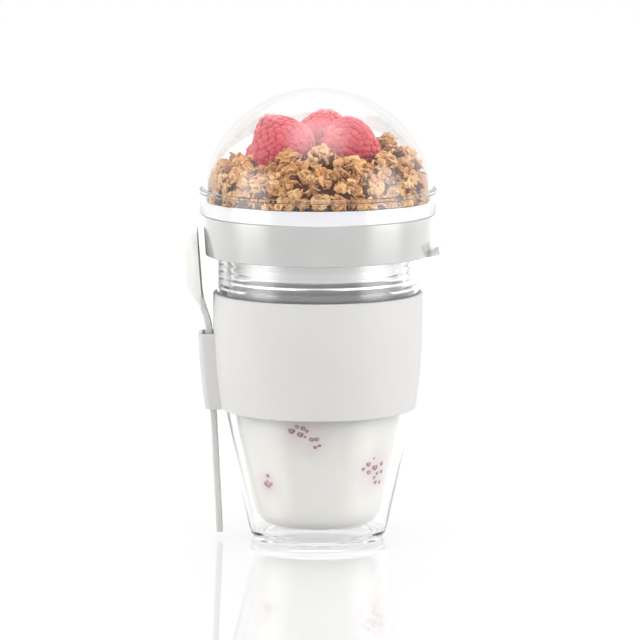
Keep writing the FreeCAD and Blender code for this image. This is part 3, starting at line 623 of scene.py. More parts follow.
def make_fruit_pieces():
    """Raspberry pieces that show at the liner: their drupelets are pressed flat by it."""
    bm = bmesh.new()
    ring = bm.verts.layers.float.new("ring")
    for (turn, z), drupelets in FRUIT_IN_YOGURT.values():
        for across, up, radius in drupelets:
            place = Matrix.Translation(on_liner(turn, z, across, up, REACH_IN))
            out = place.translation.xy.to_3d().to_track_quat("Z", "Y").to_matrix().to_4x4()
            made = bmesh.ops.create_icosphere(bm, subdivisions=3, radius=1)["verts"]
            for vert in made:
                vert[ring] = vert.co.xy.length
            flat = Matrix.Diagonal((radius * 1.2 * MM, radius * 1.2 * MM, 0.16 * MM, 1))
            bmesh.ops.transform(bm, matrix=place @ out @ flat, verts=made)
    return piece_from(bm, "fruit_pieces", fruit_under_yogurt())


# ---- the sleeve and its loop ----

def sleeve_radius(z):
    """Radius of the sleeve's outside at a height."""
    return wall_radius(z) + BAND_WALL


def make_sleeve():
    """The silicone sleeve, with the upright loop for the spoon."""
    corners = [
        (wall_radius(BAND_LOW) + SLEEVE_GAP, BAND_LOW),
        (sleeve_radius(BAND_LOW), BAND_LOW, EDGE),
    ]
    corners += wall_line(BAND_LOW + 1.5, BEND_HIGH, -BAND_WALL)
    corners += [(NECK_R + BAND_WALL, BAND_TOP, 0.7), (NECK_R + SLEEVE_GAP, BAND_TOP, 0.3)]
    corners += reversed(wall_line(BAND_LOW + 1.5, BEND_HIGH, -SLEEVE_GAP))
    bm = spun(corners)
    take_in(bm, make_loop())
    return piece_from(bm, "sleeve", silicone(), ["band"])


def make_loop():
    """The loop as a mesh: a U-shaped strap seen from above, drawn up along the sleeve."""
    half = LOOP_WIDTH / 2
    near = sleeve_radius(BAND_LOW) - LOOP_ROOT
    far = sleeve_radius(BAND_LOW) + LOOP_REACH
    strap = [
        (near, -half), (far, -half, LOOP_ROUND), (far, half, LOOP_ROUND), (near, half),
        (near, half - LOOP_WALL), (far - LOOP_WALL, half - LOOP_WALL, LOOP_ROUND - LOOP_WALL),
        (far - LOOP_WALL, LOOP_WALL - half, LOOP_ROUND - LOOP_WALL), (near, LOOP_WALL - half),
    ]
    bm = bmesh.new()
    outline = [bm.verts.new((-x * MM, y * MM, BAND_LOW * MM)) for x, y in rounded(strap)]
    top = bm.faces.new(outline)
    steps = 10
    for i in range(steps):
        low = BAND_LOW + (LOOP_TOP - BAND_LOW) * i / steps
        high = BAND_LOW + (LOOP_TOP - BAND_LOW) * (i + 1) / steps
        made = bmesh.ops.extrude_face_region(bm, geom=[top])["geom"]
        if i:
            bm.faces.remove(top)
        top = next(g for g in made if isinstance(g, bmesh.types.BMFace))
        verts = [g for g in made if isinstance(g, bmesh.types.BMVert)]
        lift = Vector((sleeve_radius(low) - sleeve_radius(high), 0, high - low)) * MM
        bmesh.ops.translate(bm, verts=verts, vec=lift)
    bmesh.ops.recalc_face_normals(bm, faces=bm.faces)
    ends = [e for e in bm.edges if e.calc_face_angle(0) > 1.2 and abs(
        e.verts[0].co.z - e.verts[1].co.z) < MERGE]
    rounded_off(bm, ends, 0.4)
    return mesh_from(bm, "loop")


# ---- the topping cup ----

def make_topping_cup():
    """The white cup with its lift tab."""
    shelf = RIM + SHELF
    floor = CUP_FOOT + SHELF
    collar_in = COLLAR_LOW_R - COLLAR_WALL
    rim_in = CUP_RIM_R - CUP_RIM_WALL
    lap = SKIRT_R - DOME_WALL - DOME_FIT
    corners = [
        (0, CUP_FOOT), (PLUG_R - DRAFT, CUP_FOOT, 1.5), (PLUG_R, RIM + LID_GAP),
        (collar_in, RIM + LID_GAP, EDGE), (collar_in, COLLAR_LOW, EDGE),
        (COLLAR_LOW_R, COLLAR_LOW, EDGE), (COLLAR_TOP_R, COLLAR_TOP, 0.4),
        (lap, COLLAR_TOP), (CUP_RIM_R, CUP_RIM, EDGE), (rim_in, CUP_RIM, EDGE),
        (rim_in - DRAFT, shelf, 2.5), (PLUG_R - PLUG_WALL, shelf, 1.5),
        (PLUG_R - PLUG_WALL - DRAFT, floor, 1.5), (0, floor),
    ]
    bm = spun(corners)
    take_in(bm, make_tab())
    return piece_from(
        bm, "white_cup", white_polypropylene(), ["topping_cup"])


def make_tab():
    """The small raised tab at the collar's lower edge, as a mesh."""
    root = COLLAR_LOW_R - COLLAR_WALL / 2
    tip = COLLAR_LOW_R + TAB_REACH
    side = [
        (root, TAB_LOW + EDGE), (tip, TAB_LOW + 1.9, 1.0), (tip - 0.95, TAB_LOW + 6.2, 0.7),
        (tip - 3.4, TAB_LOW + 3.6, 1.3), (root, TAB_LOW + 3.1),
    ]
    bm = bmesh.new()
    half = TAB_WIDTH / 2
    face = bm.faces.new([bm.verts.new((x * MM, -half * MM, z * MM)) for x, z in rounded(side)])
    made = bmesh.ops.extrude_face_region(bm, geom=[face], use_keep_orig=True)["geom"]
    verts = [g for g in made if isinstance(g, bmesh.types.BMVert)]
    bmesh.ops.translate(bm, verts=verts, vec=(0, TAB_WIDTH * MM, 0))
    bmesh.ops.recalc_face_normals(bm, faces=bm.faces)
    rims = [e for e in bm.edges if abs(e.verts[0].co.y - e.verts[1].co.y) < MERGE]
    rounded_off(bm, rims, EDGE)
    bmesh.ops.rotate(
        bm, verts=bm.verts, cent=(0, 0, 0),
        matrix=Matrix.Rotation(math.radians(TAB_TURN), 3, "Z"))
    return mesh_from(bm, "tab")


# ---- the dome ----

def make_dome():
    """The clear dome with the step to its skirt."""
    skirt_in = SKIRT_R - DOME_WALL
    corners = dome_line(0, SKIRT_TOP)
    corners += [
        (SKIRT_R, SKIRT_TOP, 0.6), (SKIRT_R, SKIRT_LOW, 0.7), (skirt_in, SKIRT_LOW, 0.5),
        (skirt_in, SKIRT_TOP - DOME_WALL, 0.6),
    ]
    corners += reversed(dome_line(DOME_WALL, SKIRT_TOP - DOME_WALL))
    return piece_from(
        spun(corners, FINE_STEPS), "clear_dome", CLEAR_LID, ["dome"])


# ---- the spoon ----

# the bowl: its middle, half its height and width, its rim's reach and lean, its depth and wall
BOWL_Z = 115.4
BOWL_HALF = 17.15
BOWL_WIDTH = 13.3
BOWL_REACH = 49.35
BOWL_LEAN = math.tan(math.radians(4.3))
BOWL_DEPTH = 7.6
BOWL_WALL = 1.5
BOWL_RIM = 2.0
# up the spoon: (height, reach of its inner face, thickness, half width)
HANDLE = [
    (2.3, 40.5, 2.7, 3.4), (3.4, 40.5, 2.85, 4.1), (30.0, 41.8, 2.85, 4.25),
    (60.0, 43.25, 2.9, 4.3), (84.0, 44.4, 2.9, 4.3), (91.0, 44.9, 2.95, 4.1),
    (95.0, 45.9, 3.0, 3.9), (98.2, 47.0, 3.1, 3.9),
]
HANDLE_TOP, _, _, HANDLE_HALF = HANDLE[-1]
# how far up the handle's bar turns into the bowl
BLEND = 7.0


def make_spoon():
    """The spoon, bowl up, its hollow side to the jar: sections up its length, joined."""
    sides = 40
    bm = bmesh.new()
    turn = bm.verts.layers.float.new("turn")
    bmesh.ops.create_circle(bm, segments=sides, radius=1)
    for i, vert in enumerate(bm.verts):
        vert[turn] = 2 * math.pi * (i + 0.5) / sides
    ring = bm.verts[:]
    sections = list(spoon_sections())
    for number, section in enumerate(sections):
        if number:
            edges = [e for e in bm.edges if e.verts[0] in ring and e.verts[1] in ring]
            made = bmesh.ops.extrude_edge_only(bm, edges=edges)["geom"]
            ring = [g for g in made if isinstance(g, bmesh.types.BMVert)]
        for vert in ring:
            vert.co = spoon_point(vert[turn], *section)
    bmesh.ops.holes_fill(bm, edges=bm.edges, sides=sides)
    bmesh.ops.recalc_face_normals(bm, faces=bm.faces)
    return piece_from(bm, "moulded_spoon", spoon_plastic(), ["spoon"], 50)


def spoon_sections():
    """(height, reach of the rim, depth of the back, depth of the hollow, half width, wall,
    how round): the handle is a flat-sided bar, the bowl round."""
    for z, reach, thick, half in HANDLE:
        yield z, reach + thick * 0.45, thick * 0.55, -thick * 0.45, half, 0.3, 0.0
    steps = 34
    for i in range(1, steps):
        share = -math.cos(math.pi * i / steps)
        z = BOWL_Z + BOWL_HALF * share
        if z < HANDLE_TOP + 1.2:
            continue
        full = math.sqrt(1 - share * share)
        blend = min(1.0, (z - HANDLE_TOP) / BLEND)
        reach = BOWL_REACH + (z - BOWL_Z) * BOWL_LEAN - 0.55 * (1 - blend) ** 2
        half = max(BOWL_WIDTH * full ** 0.95, HANDLE_HALF * (1 - blend) + 0.5)
        back = BOWL_DEPTH * full ** 0.85
        back = back * blend + 2.2 * (1 - blend)
        hollow = max(-0.9, back - BOWL_WALL) * blend - 0.9 * (1 - blend)
        yield z, reach, back, hollow, half, min(1.2, half * 0.3), blend


def spoon_point(turn, z, reach, back, hollow, half, wall, bowl):
    """A point round a section: the back on one half of the turn, the hollow on the other.
    The bowl has an upright rim, and bulges from it."""
    side = math.cos(turn)
    depth = abs(math.sin(turn))
    across = math.copysign(abs(side) ** (0.3 + 0.7 * bowl), side)
    if math.sin(turn) < 0:
        depth = depth ** (0.3 + 0.6 * bowl)
        return Vector((-(reach + hollow * depth), (half - wall) * across, z)) * MM
    rim = min(BOWL_RIM, back * 0.6)
    bulge = rim * min(1.0, depth / 0.3) + (back - rim) * max(0.0, (depth - 0.3) / 0.7) ** 0.8
    flat = back * depth ** 0.3
    return Vector((-(reach + flat + (bulge - flat) * bowl), half * across, z)) * MM


# ---- the raspberries ----

# turn and tilt of each one's tip, in degrees, and its size
BERRIES = {
    "raspberry_left": (186, 58, 1.06),
    "raspberry_right": (-8, -16, 1.0),
    "raspberry_back": (72, 58, 1.02),
    "raspberry_low": (150, 10, 0.84),
}
# half width and length of one of size 1, and the distance between its drupelets
BERRY_R = 12.6
BERRY_LENGTH = 26.0
PITCH = 2.9
# middles, as in the CAD
BERRY_PLACES = {
    "raspberry_left": Vector((-15.6, -11.2, 168.9)),
    "raspberry_right": Vector((14.2, -10.4, 166.8)),
    "raspberry_back": Vector((2.6, 14.2, 169.9)),
    "raspberry_low": Vector((-21.4, 11.6, 160.6)),
}


def waist(share):
    """Half width of a raspberry from its stalk end, 0, to its tip, 1."""
    return math.sin(math.pi * share ** 0.72) ** 0.62


def make_raspberry(name, seed):
    """One raspberry: rows of drupelets round a body with the hollow of the stalk."""
    source = random.Random(seed)
    turn, tilt, scale = BERRIES[name]
    radius = BERRY_R * scale
    length = BERRY_LENGTH * scale
    body_steps = 12
    body = [(0, -length * 0.05), (radius * 0.3, -length * 0.18), (radius * 0.42, -length * 0.47)]
    for i in range(1, body_steps):
        share = i / body_steps
        body.append((radius * waist(share) * 0.95, length * (share - 0.5) * 0.96))
    body.append((0, length * 0.46))
    bm = spun(body, steps=28)
    tint = bm.verts.layers.float.new("tint")
    # the body shows between the drupelets and takes a darker tint than most of them: painted shade
    # in the gaps
    for vert in bm.verts:
        vert[tint] = 0.5
    rows = round(length * 1.4 / PITCH)
    for row in range(rows + 1):
        share = 0.035 + 0.965 * (row / rows) ** 0.93
        share = min(share, 0.98)
        ring_radius = radius * waist(share) * 0.955
        count = max(1, round(2 * math.pi * ring_radius / PITCH))
        size = min(1.0, 0.74 + 0.3 * waist(share))
        for k in range(count):
            around = 2 * math.pi * (k + row % 2 / 2 + source.uniform(-0.14, 0.14)) / count
            up = length * (share - 0.5) * 0.955 + source.uniform(-0.3, 0.3)
            steep = slope_out(share, radius, length)
            outward = Vector((math.cos(around) * math.cos(steep),
                              math.sin(around) * math.cos(steep), math.sin(steep)))
            big = PITCH * 0.6 * size * source.uniform(0.93, 1.07)
            middle = Vector((math.cos(around) * ring_radius, math.sin(around) * ring_radius, up))
            shape = outward.to_track_quat("Z", "Y").to_matrix().to_4x4()
            spread = Matrix.Diagonal((big * MM, big * source.uniform(0.98, 1.1) * MM,
                                      big * 0.5 * MM, 1))
            made = bmesh.ops.create_icosphere(
                bm, subdivisions=2, radius=1,
                matrix=Matrix.Translation(middle * MM) @ shape @ spread)
            shade = source.uniform(0.45, 0.9)
            for vert in made["verts"]:
                vert[tint] = shade
    lay = Matrix.Rotation(math.radians(turn), 4, "Z") @ Matrix.Rotation(
        math.radians(90 - tilt), 4, "Y")
    place = Matrix.Translation(BERRY_PLACES[name] * MM) @ lay
    bmesh.ops.transform(bm, matrix=place, verts=bm.verts)
    return piece_from(bm, name + "_drupelets", RASPBERRY, [name], 60)


def slope_out(share, radius, length):
    """How far the skin faces the tip at a share of the length, in radians."""
    step = 0.02
    low, high = max(0.01, share - step), min(0.999, share + step)
    across = radius * (waist(high) - waist(low))
    return math.atan2(-across, length * (high - low))


# ---- the granola ----

# Rises of the heap, with a cluster on each: middle (x, y), radius, and height
HEAP_CLUSTERS = {
    "front_left": ((-12.0, -26.0), 8.5, 5.0),
    "front_middle": ((1.0, -23.5), 8.0, 5.5),
    "front_right": ((14.5, -27.0), 7.5, 3.6),
    "right_front": ((27.0, -21.5), 7.5, 7.0),
    "right_peak": ((28.5, 5.0), 7.5, 9.4),
    "right_shoulder": ((36.0, -1.0), 8.0, 8.4),
    "right_back": ((27.0, 21.0), 8.0, 5.5),
    "back_right": ((9.0, 32.5), 8.0, 4.6),
    "back_left": ((-9.5, 31.0), 8.0, 5.6),
    "left_back": ((-27.0, 27.0), 7.5, 3.4),
    "left": ((-38.0, 5.0), 7.5, 3.2),
    "left_front": ((-29.0, -24.5), 8.0, 2.2),
    "left_slope": ((-37.5, -11.0), 6.0, 2.8),
}
HEAP_EDGE = dome_room(HEAP_EDGE_Z) - ROOM
# width of a cluster's lump, in the cluster's radii
LUMP = 1.72
# pieces on a cluster: how many for a radius of 1 mm, how far out, in its radii, and their size
FLAKES_ON = 1.6
FLAKE_REACH = (0.76, 1.02)
FLAKE_LENGTH = (2.6, 5.8)
CRUMBS_ON = 1.0
CRUMB_REACH = (0.85, 1.1)
CRUMB_SIZE = (0.7, 1.9)


def heap_height(x, y):
    """Height of the heap's top, over the raspberries' beds."""
    share = min(1.0, math.hypot(x, y) / HEAP_EDGE)
    height = HEAP_TOP - (HEAP_TOP - HEAP_EDGE_Z) * share ** 3
    bump_up = 0.0
    for middle, radius, rise in HEAP_CLUSTERS.values():
        away = math.hypot(x - middle[0], y - middle[1]) / radius
        if away < 1:
            bump_up = max(bump_up, rise * (1 - away ** 2.5))
    height += bump_up * (1 - share ** 8)
    for name, (_, _, scale) in BERRIES.items():
        middle = BERRY_PLACES[name]
        radius = BERRY_LENGTH / 2 * scale + 0.8
        away = math.hypot(x - middle.x, y - middle.y)
        if away < radius:
            height = min(height, middle.z - math.sqrt(radius ** 2 - away ** 2))
    return height


def in_berry(point, margin):
    """Whether a point (mm) is inside the ball that a raspberry is taken for here, or nearer
    to it than the margin."""
    for name, (_, _, scale) in BERRIES.items():
        if (point - BERRY_PLACES[name]).length < BERRY_R * scale + margin:
            return True
    return False


def keep_under_dome(verts):
    """Press what would pass through the dome flat against its inside."""
    for vert in verts:
        room = (dome_room(vert.co.z / MM) - ROOM) * MM
        across = vert.co.xy.length
        if across > room:
            vert.co.xy *= room / across
        if across > (CUP_RIM_R - CUP_RIM_WALL - DRAFT) * MM:
            vert.co.z = max(vert.co.z, (CUP_RIM + 0.2) * MM)


def make_granola_core():
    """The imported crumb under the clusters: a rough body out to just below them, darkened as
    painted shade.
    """
    plug_in = PLUG_R - PLUG_WALL - DRAFT - ROOM
    shelf = RIM + SHELF
    rim_in = CUP_RIM_R - CUP_RIM_WALL - DRAFT
    corners = [
        (0, CUP_FOOT + SHELF + ROOM), (plug_in, CUP_FOOT + SHELF + ROOM, 2.0),
        (plug_in, shelf - 1.6), (plug_in + 1.4, shelf + ROOM),
        (rim_in - ROOM, shelf + ROOM, 3.0), (rim_in - ROOM, CUP_RIM + 0.3),
    ]
    sides = 7
    for i in range(sides):
        z = CUP_RIM + 0.8 + (HEAP_EDGE_Z - CUP_RIM - 0.8) * i / (sides - 1)
        corners.append((dome_room(z) - CORE_GAP, z))
    rings = 34
    edge = dome_room(HEAP_EDGE_Z) - CORE_GAP
    corners += [(edge * (1 - i / rings), HEAP_EDGE_Z) for i in range(1, rings + 1)]
    bm = spun(corners, steps=150)
    for vert in bm.verts:
        x, y, z = vert.co / MM
        if z > HEAP_EDGE_Z - 0.1 and math.hypot(x, y) < edge - 0.5:
            vert.co.z = (heap_height(x, y) - CRUST) * MM
        if z > CUP_RIM + 1:
            rough = noise.noise(vert.co / MM * 0.33) + 0.5 * noise.noise(vert.co / MM * 0.8)
            vert.co *= 1 + 0.012 * rough
    keep_under_dome(v for v in bm.verts if v.co.z > CUP_RIM * MM)
    # the darkest tint: painted shade
    mark(bm, 0.1, 0.0)
    return piece_from(bm, "granola_core", CRUMB_IN_PAINTED_SHADE, ["granola"], 70)


def mark(bm, tint, rim):
    """Give every point of a bmesh the same tint and rim."""
    tints = bm.verts.layers.float.new("tint")
    rims = bm.verts.layers.float.new("rim")
    for vert in bm.verts:
        vert[tints] = tint
        vert[rims] = rim


def template_from(bm, name, rims):
    """A small mesh to copy, with how near each point is to an edge."""
    mesh = mesh_from(bm, name)
    mesh.attributes.new("tint", "FLOAT", "POINT")
    mesh.attributes.new("rim", "FLOAT", "POINT").data.foreach_set("value", rims)
    return mesh


def stamp(bm, template, place, tint):
    """Add a copy of a template at a place, all of it in one tint."""
    copy = template.copy()
    copy.transform(place)
    copy.attributes["tint"].data.foreach_set("value", [tint] * len(copy.vertices))
    bm.from_mesh(copy, face_normals=False, vertex_normals=False)
    bpy.data.meshes.remove(copy)


def flake_template(source):
    """A rolled oat flake 1 across: a thin bent oval, creased along its middle."""
    bm = bmesh.new()
    bmesh.ops.create_uvsphere(bm, u_segments=9, v_segments=3, radius=1.15)
    curl = source.uniform(-0.15, 0.25)
    crease = source.uniform(0.04, 0.12)
    twist = source.uniform(-0.35, 0.35)
    narrow = source.uniform(0.6, 0.9)
    rims = []
    for vert in bm.verts:
        x, y, z = vert.co
        reach = math.hypot(x, y)
        ragged = 1 + 0.45 * noise.noise(Vector((x * 2.1, y * 2.1, curl * 90)))
        rims.append(0.15 if reach > 0.9 else 0.0)
        lift = curl * x * x + twist * x * y - crease * math.exp(-(y / 0.2) ** 2)
        vert.co = Vector((x * ragged, y * narrow * ragged, z * 0.18 + lift)) * 0.5
    return template_from(bm, "flake", rims)


def crumb_template(source, subdivisions, rough):
    """A broken crumb 1 across: a lumpy grain."""
    bm = bmesh.new()
    bmesh.ops.create_icosphere(bm, subdivisions=subdivisions, radius=0.5)
    seed = Vector((source.uniform(0, 50), source.uniform(0, 50), 0))
    rims = []
    for vert in bm.verts:
        lump = noise.noise(vert.co * 3.2 + seed) + 0.5 * noise.noise(vert.co * 8 + seed)
        vert.co *= 1 + rough * lump
        rims.append(min(0.5, max(0.0, 0.5 * lump)))
    bmesh.ops.scale(bm, vec=(1.0, source.uniform(0.65, 0.95), source.uniform(0.6, 0.9)),
                    verts=bm.verts)
    return template_from(bm, "crumb", rims)


def turned_to(outward, source, wobble):
    """A random turn that leaves local Z within a wobble of outward."""
    lean = Vector([source.gauss(0, wobble) for _ in range(3)])
    facing = (outward + lean).normalized().to_track_quat("Z", "Y").to_matrix().to_4x4()
    return facing @ Matrix.Rotation(source.uniform(0, 2 * math.pi), 4, "Z")


def cluster_places(source):
    """(middle, outward, radius) in millimetres of the clusters over the heap."""
    places = []

    def offer(point, outward, radius, spacing):
        crowded = any((point - other[0]).length < spacing * (radius + other[2]) for other in places)
        if not crowded and not in_berry(point, radius * 0.5):
            places.append((point, outward.normalized(), radius))

    for (x, y), radius, _ in HEAP_CLUSTERS.values():
        size = radius * 0.66
        middle = Vector((x, y, heap_height(x, y) - size - 0.8))
        offer(middle, Vector((x / 60, y / 60, 1)), size, 0.5)
    for _ in range(5200):
        radius = source.choice((2.8, 4.2, 5.0, 5.8)) * source.uniform(0.9, 1.1)
        turn = source.uniform(0, 2 * math.pi)
        spoke = Vector((math.cos(turn), math.sin(turn), 0))
        if source.random() < 0.5:
            z = source.uniform(CUP_RIM + 1.5, HEAP_EDGE_Z)
            away = dome_room(z) - ROOM - radius - 0.4
            offer(spoke * away + Vector((0, 0, z)), spoke + Vector((0, 0, 0.2)), radius, 0.62)
        else:
            middle = spoke * (HEAP_EDGE - 1.5) * math.sqrt(source.random())
            middle.z = heap_height(middle.x, middle.y) - radius - 0.5
            outward = Vector((middle.x / 45, middle.y / 45, 1))
            offer(middle, outward, radius, 0.7)
    return places


def stuck_on(source, middle, outward, radius, many, wobble, reaches, margin, behind):
    """(facing, reach, spot) of many pieces on a cluster's outer side, clear of raspberries."""
    for _ in range(round(radius * radius * many)):
        facing = (outward + Vector([source.gauss(0, wobble) for _ in range(3)])).normalized()
        reach = source.uniform(*reaches)
        spot = middle + facing * radius * reach
        if not in_berry(spot, margin) and facing.dot(outward) >= behind:
            yield facing, reach, spot


def shade_of(value):
    """A tint kept between 0 and 1."""
    return min(1.0, max(0.0, value))


def make_granola():
    """Clusters of baked oats on the core, with the flakes and crumbs that stick to them."""
    source = random.Random(11)
    flakes = [flake_template(source) for _ in range(12)]
    lumps = [crumb_template(source, 3, 0.5) for _ in range(5)]
    crumbs = [crumb_template(source, 1, 0.7) for _ in range(8)]
    clusters, oats, loose = bmesh.new(), bmesh.new(), bmesh.new()
    for middle, outward, radius in cluster_places(source):
        place = Matrix.Translation(middle * MM) @ turned_to(outward, source, 0.6)
        batch = source.gauss(0, 0.17)
        stamp(clusters, source.choice(lumps), place @ Matrix.Scale(radius * LUMP * MM, 4),
              0.42 + batch)
        for facing, reach, spot in stuck_on(
                source, middle, outward, radius, FLAKES_ON, 0.7, FLAKE_REACH, 0.6, -0.1):
            length = source.uniform(*FLAKE_LENGTH) * MM
            place = Matrix.Translation(spot * MM) @ turned_to(facing, source, 0.5)
            # painted shade: those that lie deeper in a cluster are darker, as in its crevices
            deep = (FLAKE_REACH[1] - reach) * 2.2
            stamp(oats, source.choice(flakes), place @ Matrix.Scale(length, 4),
                  shade_of(source.gauss(0.84, 0.2) + batch - deep))
        for facing, _, spot in stuck_on(
                source, middle, outward, radius, CRUMBS_ON, 0.9, CRUMB_REACH, 0.4, -0.2):
            place = Matrix.Translation(spot * MM) @ turned_to(facing, source, 1.0)
            stamp(loose, source.choice(crumbs),
                  place @ Matrix.Scale(source.uniform(*CRUMB_SIZE) * MM, 4),
                  shade_of(source.gauss(0.5, 0.25) + batch))
    for template in flakes + lumps + crumbs:
        bpy.data.meshes.remove(template)
    for bm in (clusters, oats, loose):
        keep_under_dome(bm.verts)
    piece_from(clusters, "granola_clusters", CLUSTER, (), 80)
    piece_from(oats, "oat_flakes", FLAKE, (), 80)
    piece_from(loose, "granola_crumbs", CLUSTER, (), 80)


# ---- floor ----

# in metres
FLOOR_RADIUS = 3.0
FLOOR_DROP = 0.0004
# what the floor is lifted by where it is seen; how much more, from one distance from the jar
# to another, in metres; and how much more through clear plastic
FLOOR_LIFT = 0.42
LIFT_MORE = 0.14
LIFT_NEAR = 0.2
LIFT_FAR = 1.0
LIFT_THROUGH = 0.12


def make_floor():
    """A pale table, white to light that falls on it. Where it is seen, it is a polished grey
    lifted to near white, so that the jar's shadow and its faint mirror image show."""
    bm = bmesh.new()
    bmesh.ops.create_circle(bm, cap_ends=True, segments=96, radius=FLOOR_RADIUS)
    bmesh.ops.translate(bm, verts=bm.verts, vec=(0, 0, -FLOOR_DROP))
    mesh = mesh_from(bm, "floor")
    floor = bpy.data.objects.new("floor", mesh)
    bpy.context.scene.collection.objects.link(floor)
    material, tree, output, place = new_material("white_laminate_floor")
    plain = add(tree, "ShaderNodeBsdfPrincipled", {
        "Base Color": colour("#F4F4F4"), "Roughness": 0.12})
    polished = add(tree, "ShaderNodeBsdfPrincipled", {
        "Base Color": (0.25, 0.25, 0.25, 1), "Roughness": 0.03})
    path = add(tree, "ShaderNodeLightPath")
    away = add(tree, "ShaderNodeVectorMath", {0: place}, operation="LENGTH").outputs["Value"]
    lift = add(tree, "ShaderNodeMapRange", {
        "Value": away, "From Min": LIFT_NEAR, "From Max": LIFT_FAR, "To Min": FLOOR_LIFT,
        "To Max": FLOOR_LIFT + LIFT_MORE})
    through = add(tree, "ShaderNodeMath", {
        0: path.outputs["Transmission Depth"], 1: 0.5}, operation="GREATER_THAN").outputs[0]
    lift = add(tree, "ShaderNodeMath", {0: through, 1: LIFT_THROUGH, 2: lift.outputs[0]},
               operation="MULTIPLY_ADD")
    glow = add(tree, "ShaderNodeEmission", {"Color": (1, 1, 1, 1), "Strength": lift.outputs[0]})
    lifted = add(tree, "ShaderNodeAddShader", {0: polished.outputs[0], 1: glow.outputs[0]})
    mix = add(tree, "ShaderNodeMixShader", {
        0: path.outputs["Is Diffuse Ray"], 1: lifted.outputs[0], 2: plain.outputs[0]})
    tree.links.new(mix.outputs[0], output.inputs["Surface"])
    mesh.materials.append(material)


# ---- world and lamps ----

# How strong the world is: between two bounds of how far a direction points to the back, -1
# to 1, it goes from one strength to another
WORLD_STRENGTHS = {
    "light": (-0.6, 0.5, 0.5, 0.95),
    "mirrored": (-0.4, 0.5, 0.12, 1.0),
    "seen_through": (-0.6, -0.2, 0.85, 1.0),
}
# what the clear walls take is made up for by more light to what is under them
WORLD_UNDER_WALLS = 1.3


def make_world():
    """A white studio. What is seen of it is white, and nearly white through the clear walls.
    The light that it gives and its image in polished pieces are dimmer towards the front,
    and what is under the clear walls gets more of its light."""
    world = bpy.data.worlds.new("studio")
    bpy.context.scene.world = world
    world.use_nodes = True
    tree = world.node_tree
    tree.nodes.clear()
    output = add(tree, "ShaderNodeOutputWorld")
    way = add(tree, "ShaderNodeTexCoord").outputs["Generated"]
    parts = add(tree, "ShaderNodeSeparateXYZ", {0: way})
    path = add(tree, "ShaderNodeLightPath")
    strengths = {}
    for name, (low, high, front, back) in WORLD_STRENGTHS.items():
        strengths[name] = add(tree, "ShaderNodeMapRange", {
            "Value": parts.outputs["Y"], "From Min": low, "From Max": high,
            "To Min": front, "To Max": back}).outputs[0]
    passed = {}
    for depth in ("Diffuse Depth", "Transmission Depth"):
        passed[depth] = add(tree, "ShaderNodeMath", {
            0: path.outputs[depth], 1: 0.5}, operation="GREATER_THAN").outputs[0]
    light = add(tree, "ShaderNodeMix", {
        0: path.outputs["Is Glossy Ray"], 2: strengths["light"], 3: strengths["mirrored"]})
    through = add(tree, "ShaderNodeMix", {
        0: passed["Diffuse Depth"], 2: strengths["seen_through"], 3: WORLD_UNDER_WALLS})
    unseen = add(tree, "ShaderNodeMix", {
        0: passed["Transmission Depth"], 2: light.outputs[0], 3: through.outputs[0]})
    strength = add(tree, "ShaderNodeMix", {
        0: path.outputs["Is Camera Ray"], 2: unseen.outputs[0], 3: 1.0})
    sky = add(tree, "ShaderNodeBackground", {
        "Color": (1, 1, 1, 1), "Strength": strength.outputs[0]})
    tree.links.new(sky.outputs[0], output.inputs["Surface"])


# turn from the front in degrees, towards +X; height, distance, width and length in metres;
# radiance; whether it stands on the floor
SOFTBOXES = {
    "left_softbox": (-69, 0.33, 0.95, 1.0, 0.9, 3.1, True),
    "right_softbox": (71, 0.33, 0.95, 1.0, 0.9, 3.4, True),
    "top_softbox": (0, 1.15, 0.3, 1.3, 1.3, 3.0, False),
    "back_softbox": (180, 1.1, 0.7, 1.4, 0.9, 3.4, False),
}
SOFTBOX_AIM = Vector((0, 0, 0.14))
# where a softbox starts to fade, and its edge, as shares of its size from its middle
FADE_START = 0.12
FADE_END = 0.5


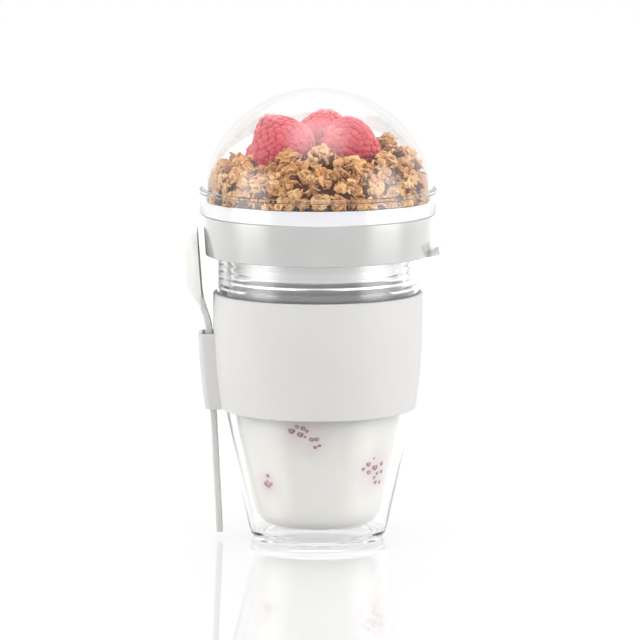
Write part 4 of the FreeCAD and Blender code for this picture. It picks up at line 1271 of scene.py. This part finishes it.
def make_softbox(name, turn, height, away, width, tall, radiance, standing):
    """An area lamp round the jar. It fades to its edges, as cloth in front of a flash does;
    a standing one doesn't at its foot."""
    data = bpy.data.lights.new(name, "AREA")
    data.shape = "RECTANGLE"
    data.size = width
    data.size_y = tall
    data.energy = radiance * math.pi * width * tall
    data.use_nodes = True
    tree = data.node_tree
    across = add(tree, "ShaderNodeSeparateXYZ", {
        0: add(tree, "ShaderNodeNewGeometry").outputs["Parametric"]})
    fade = 1.0
    for axis in ("X", "Y"):
        off = add(tree, "ShaderNodeMath", {0: across.outputs[axis], 1: 0.5},
                  operation="SUBTRACT").outputs[0]
        if not (standing and axis == "Y"):
            off = add(tree, "ShaderNodeMath", {0: off}, operation="ABSOLUTE").outputs[0]
        side = add(tree, "ShaderNodeMapRange", {
            "Value": off, "From Min": FADE_START, "From Max": FADE_END,
            "To Min": 1.0, "To Max": 0.0}, interpolation_type="SMOOTHSTEP")
        fade = add(tree, "ShaderNodeMath", {0: fade, 1: side.outputs[0]},
                   operation="MULTIPLY").outputs[0]
    glow = next(n for n in tree.nodes if n.type == "EMISSION")
    tree.links.new(fade, glow.inputs["Strength"])
    lamp = bpy.data.objects.new(name, data)
    bpy.context.scene.collection.objects.link(lamp)
    angle = math.radians(turn)
    lamp.location = (away * math.sin(angle), -away * math.cos(angle), height)
    aim = SOFTBOX_AIM - lamp.location
    lamp.rotation_euler = aim.to_track_quat("-Z", "Y").to_euler()
    lamp.visible_camera = False


# ---- camera ----

# in millimetres, but for the distance in metres from the point that it looks at
SENSOR = 36
LENS = 265.5
CAMERA_AWAY = 2.0
CAMERA_RISE = math.radians(7.7515)
CAMERA_TARGET = Vector((0.85, 0, 92.95))


def make_camera():
    """A long lens, a little above the jar."""
    data = bpy.data.cameras.new("camera")
    data.sensor_width = SENSOR
    data.lens = LENS
    data.clip_end = 10 * CAMERA_AWAY
    camera = bpy.data.objects.new("camera", data)
    bpy.context.scene.collection.objects.link(camera)
    way = Vector((0, -math.cos(CAMERA_RISE), math.sin(CAMERA_RISE)))
    camera.location = CAMERA_TARGET * MM + way * CAMERA_AWAY
    camera.rotation_euler = (math.pi / 2 - CAMERA_RISE, 0, 0)
    bpy.context.scene.camera = camera


# ---- the jar and its stage ----

make_outer_shell()
make_liner()
make_yogurt()
make_fruit_pieces()
make_sleeve()
make_topping_cup()
make_dome()
make_spoon()
for seed, berry in enumerate(BERRIES, start=21):
    make_raspberry(berry, seed)
make_granola_core()
make_granola()

make_floor()
make_world()
for softbox, settings in SOFTBOXES.items():
    make_softbox(softbox, *settings)
make_camera()

scene = bpy.context.scene
scene.view_settings.view_transform = "Standard"
scene.cycles.max_bounces = 32
scene.cycles.transmission_bounces = 20
scene.cycles.glossy_bounces = 20
scene.cycles.transparent_max_bounces = 24
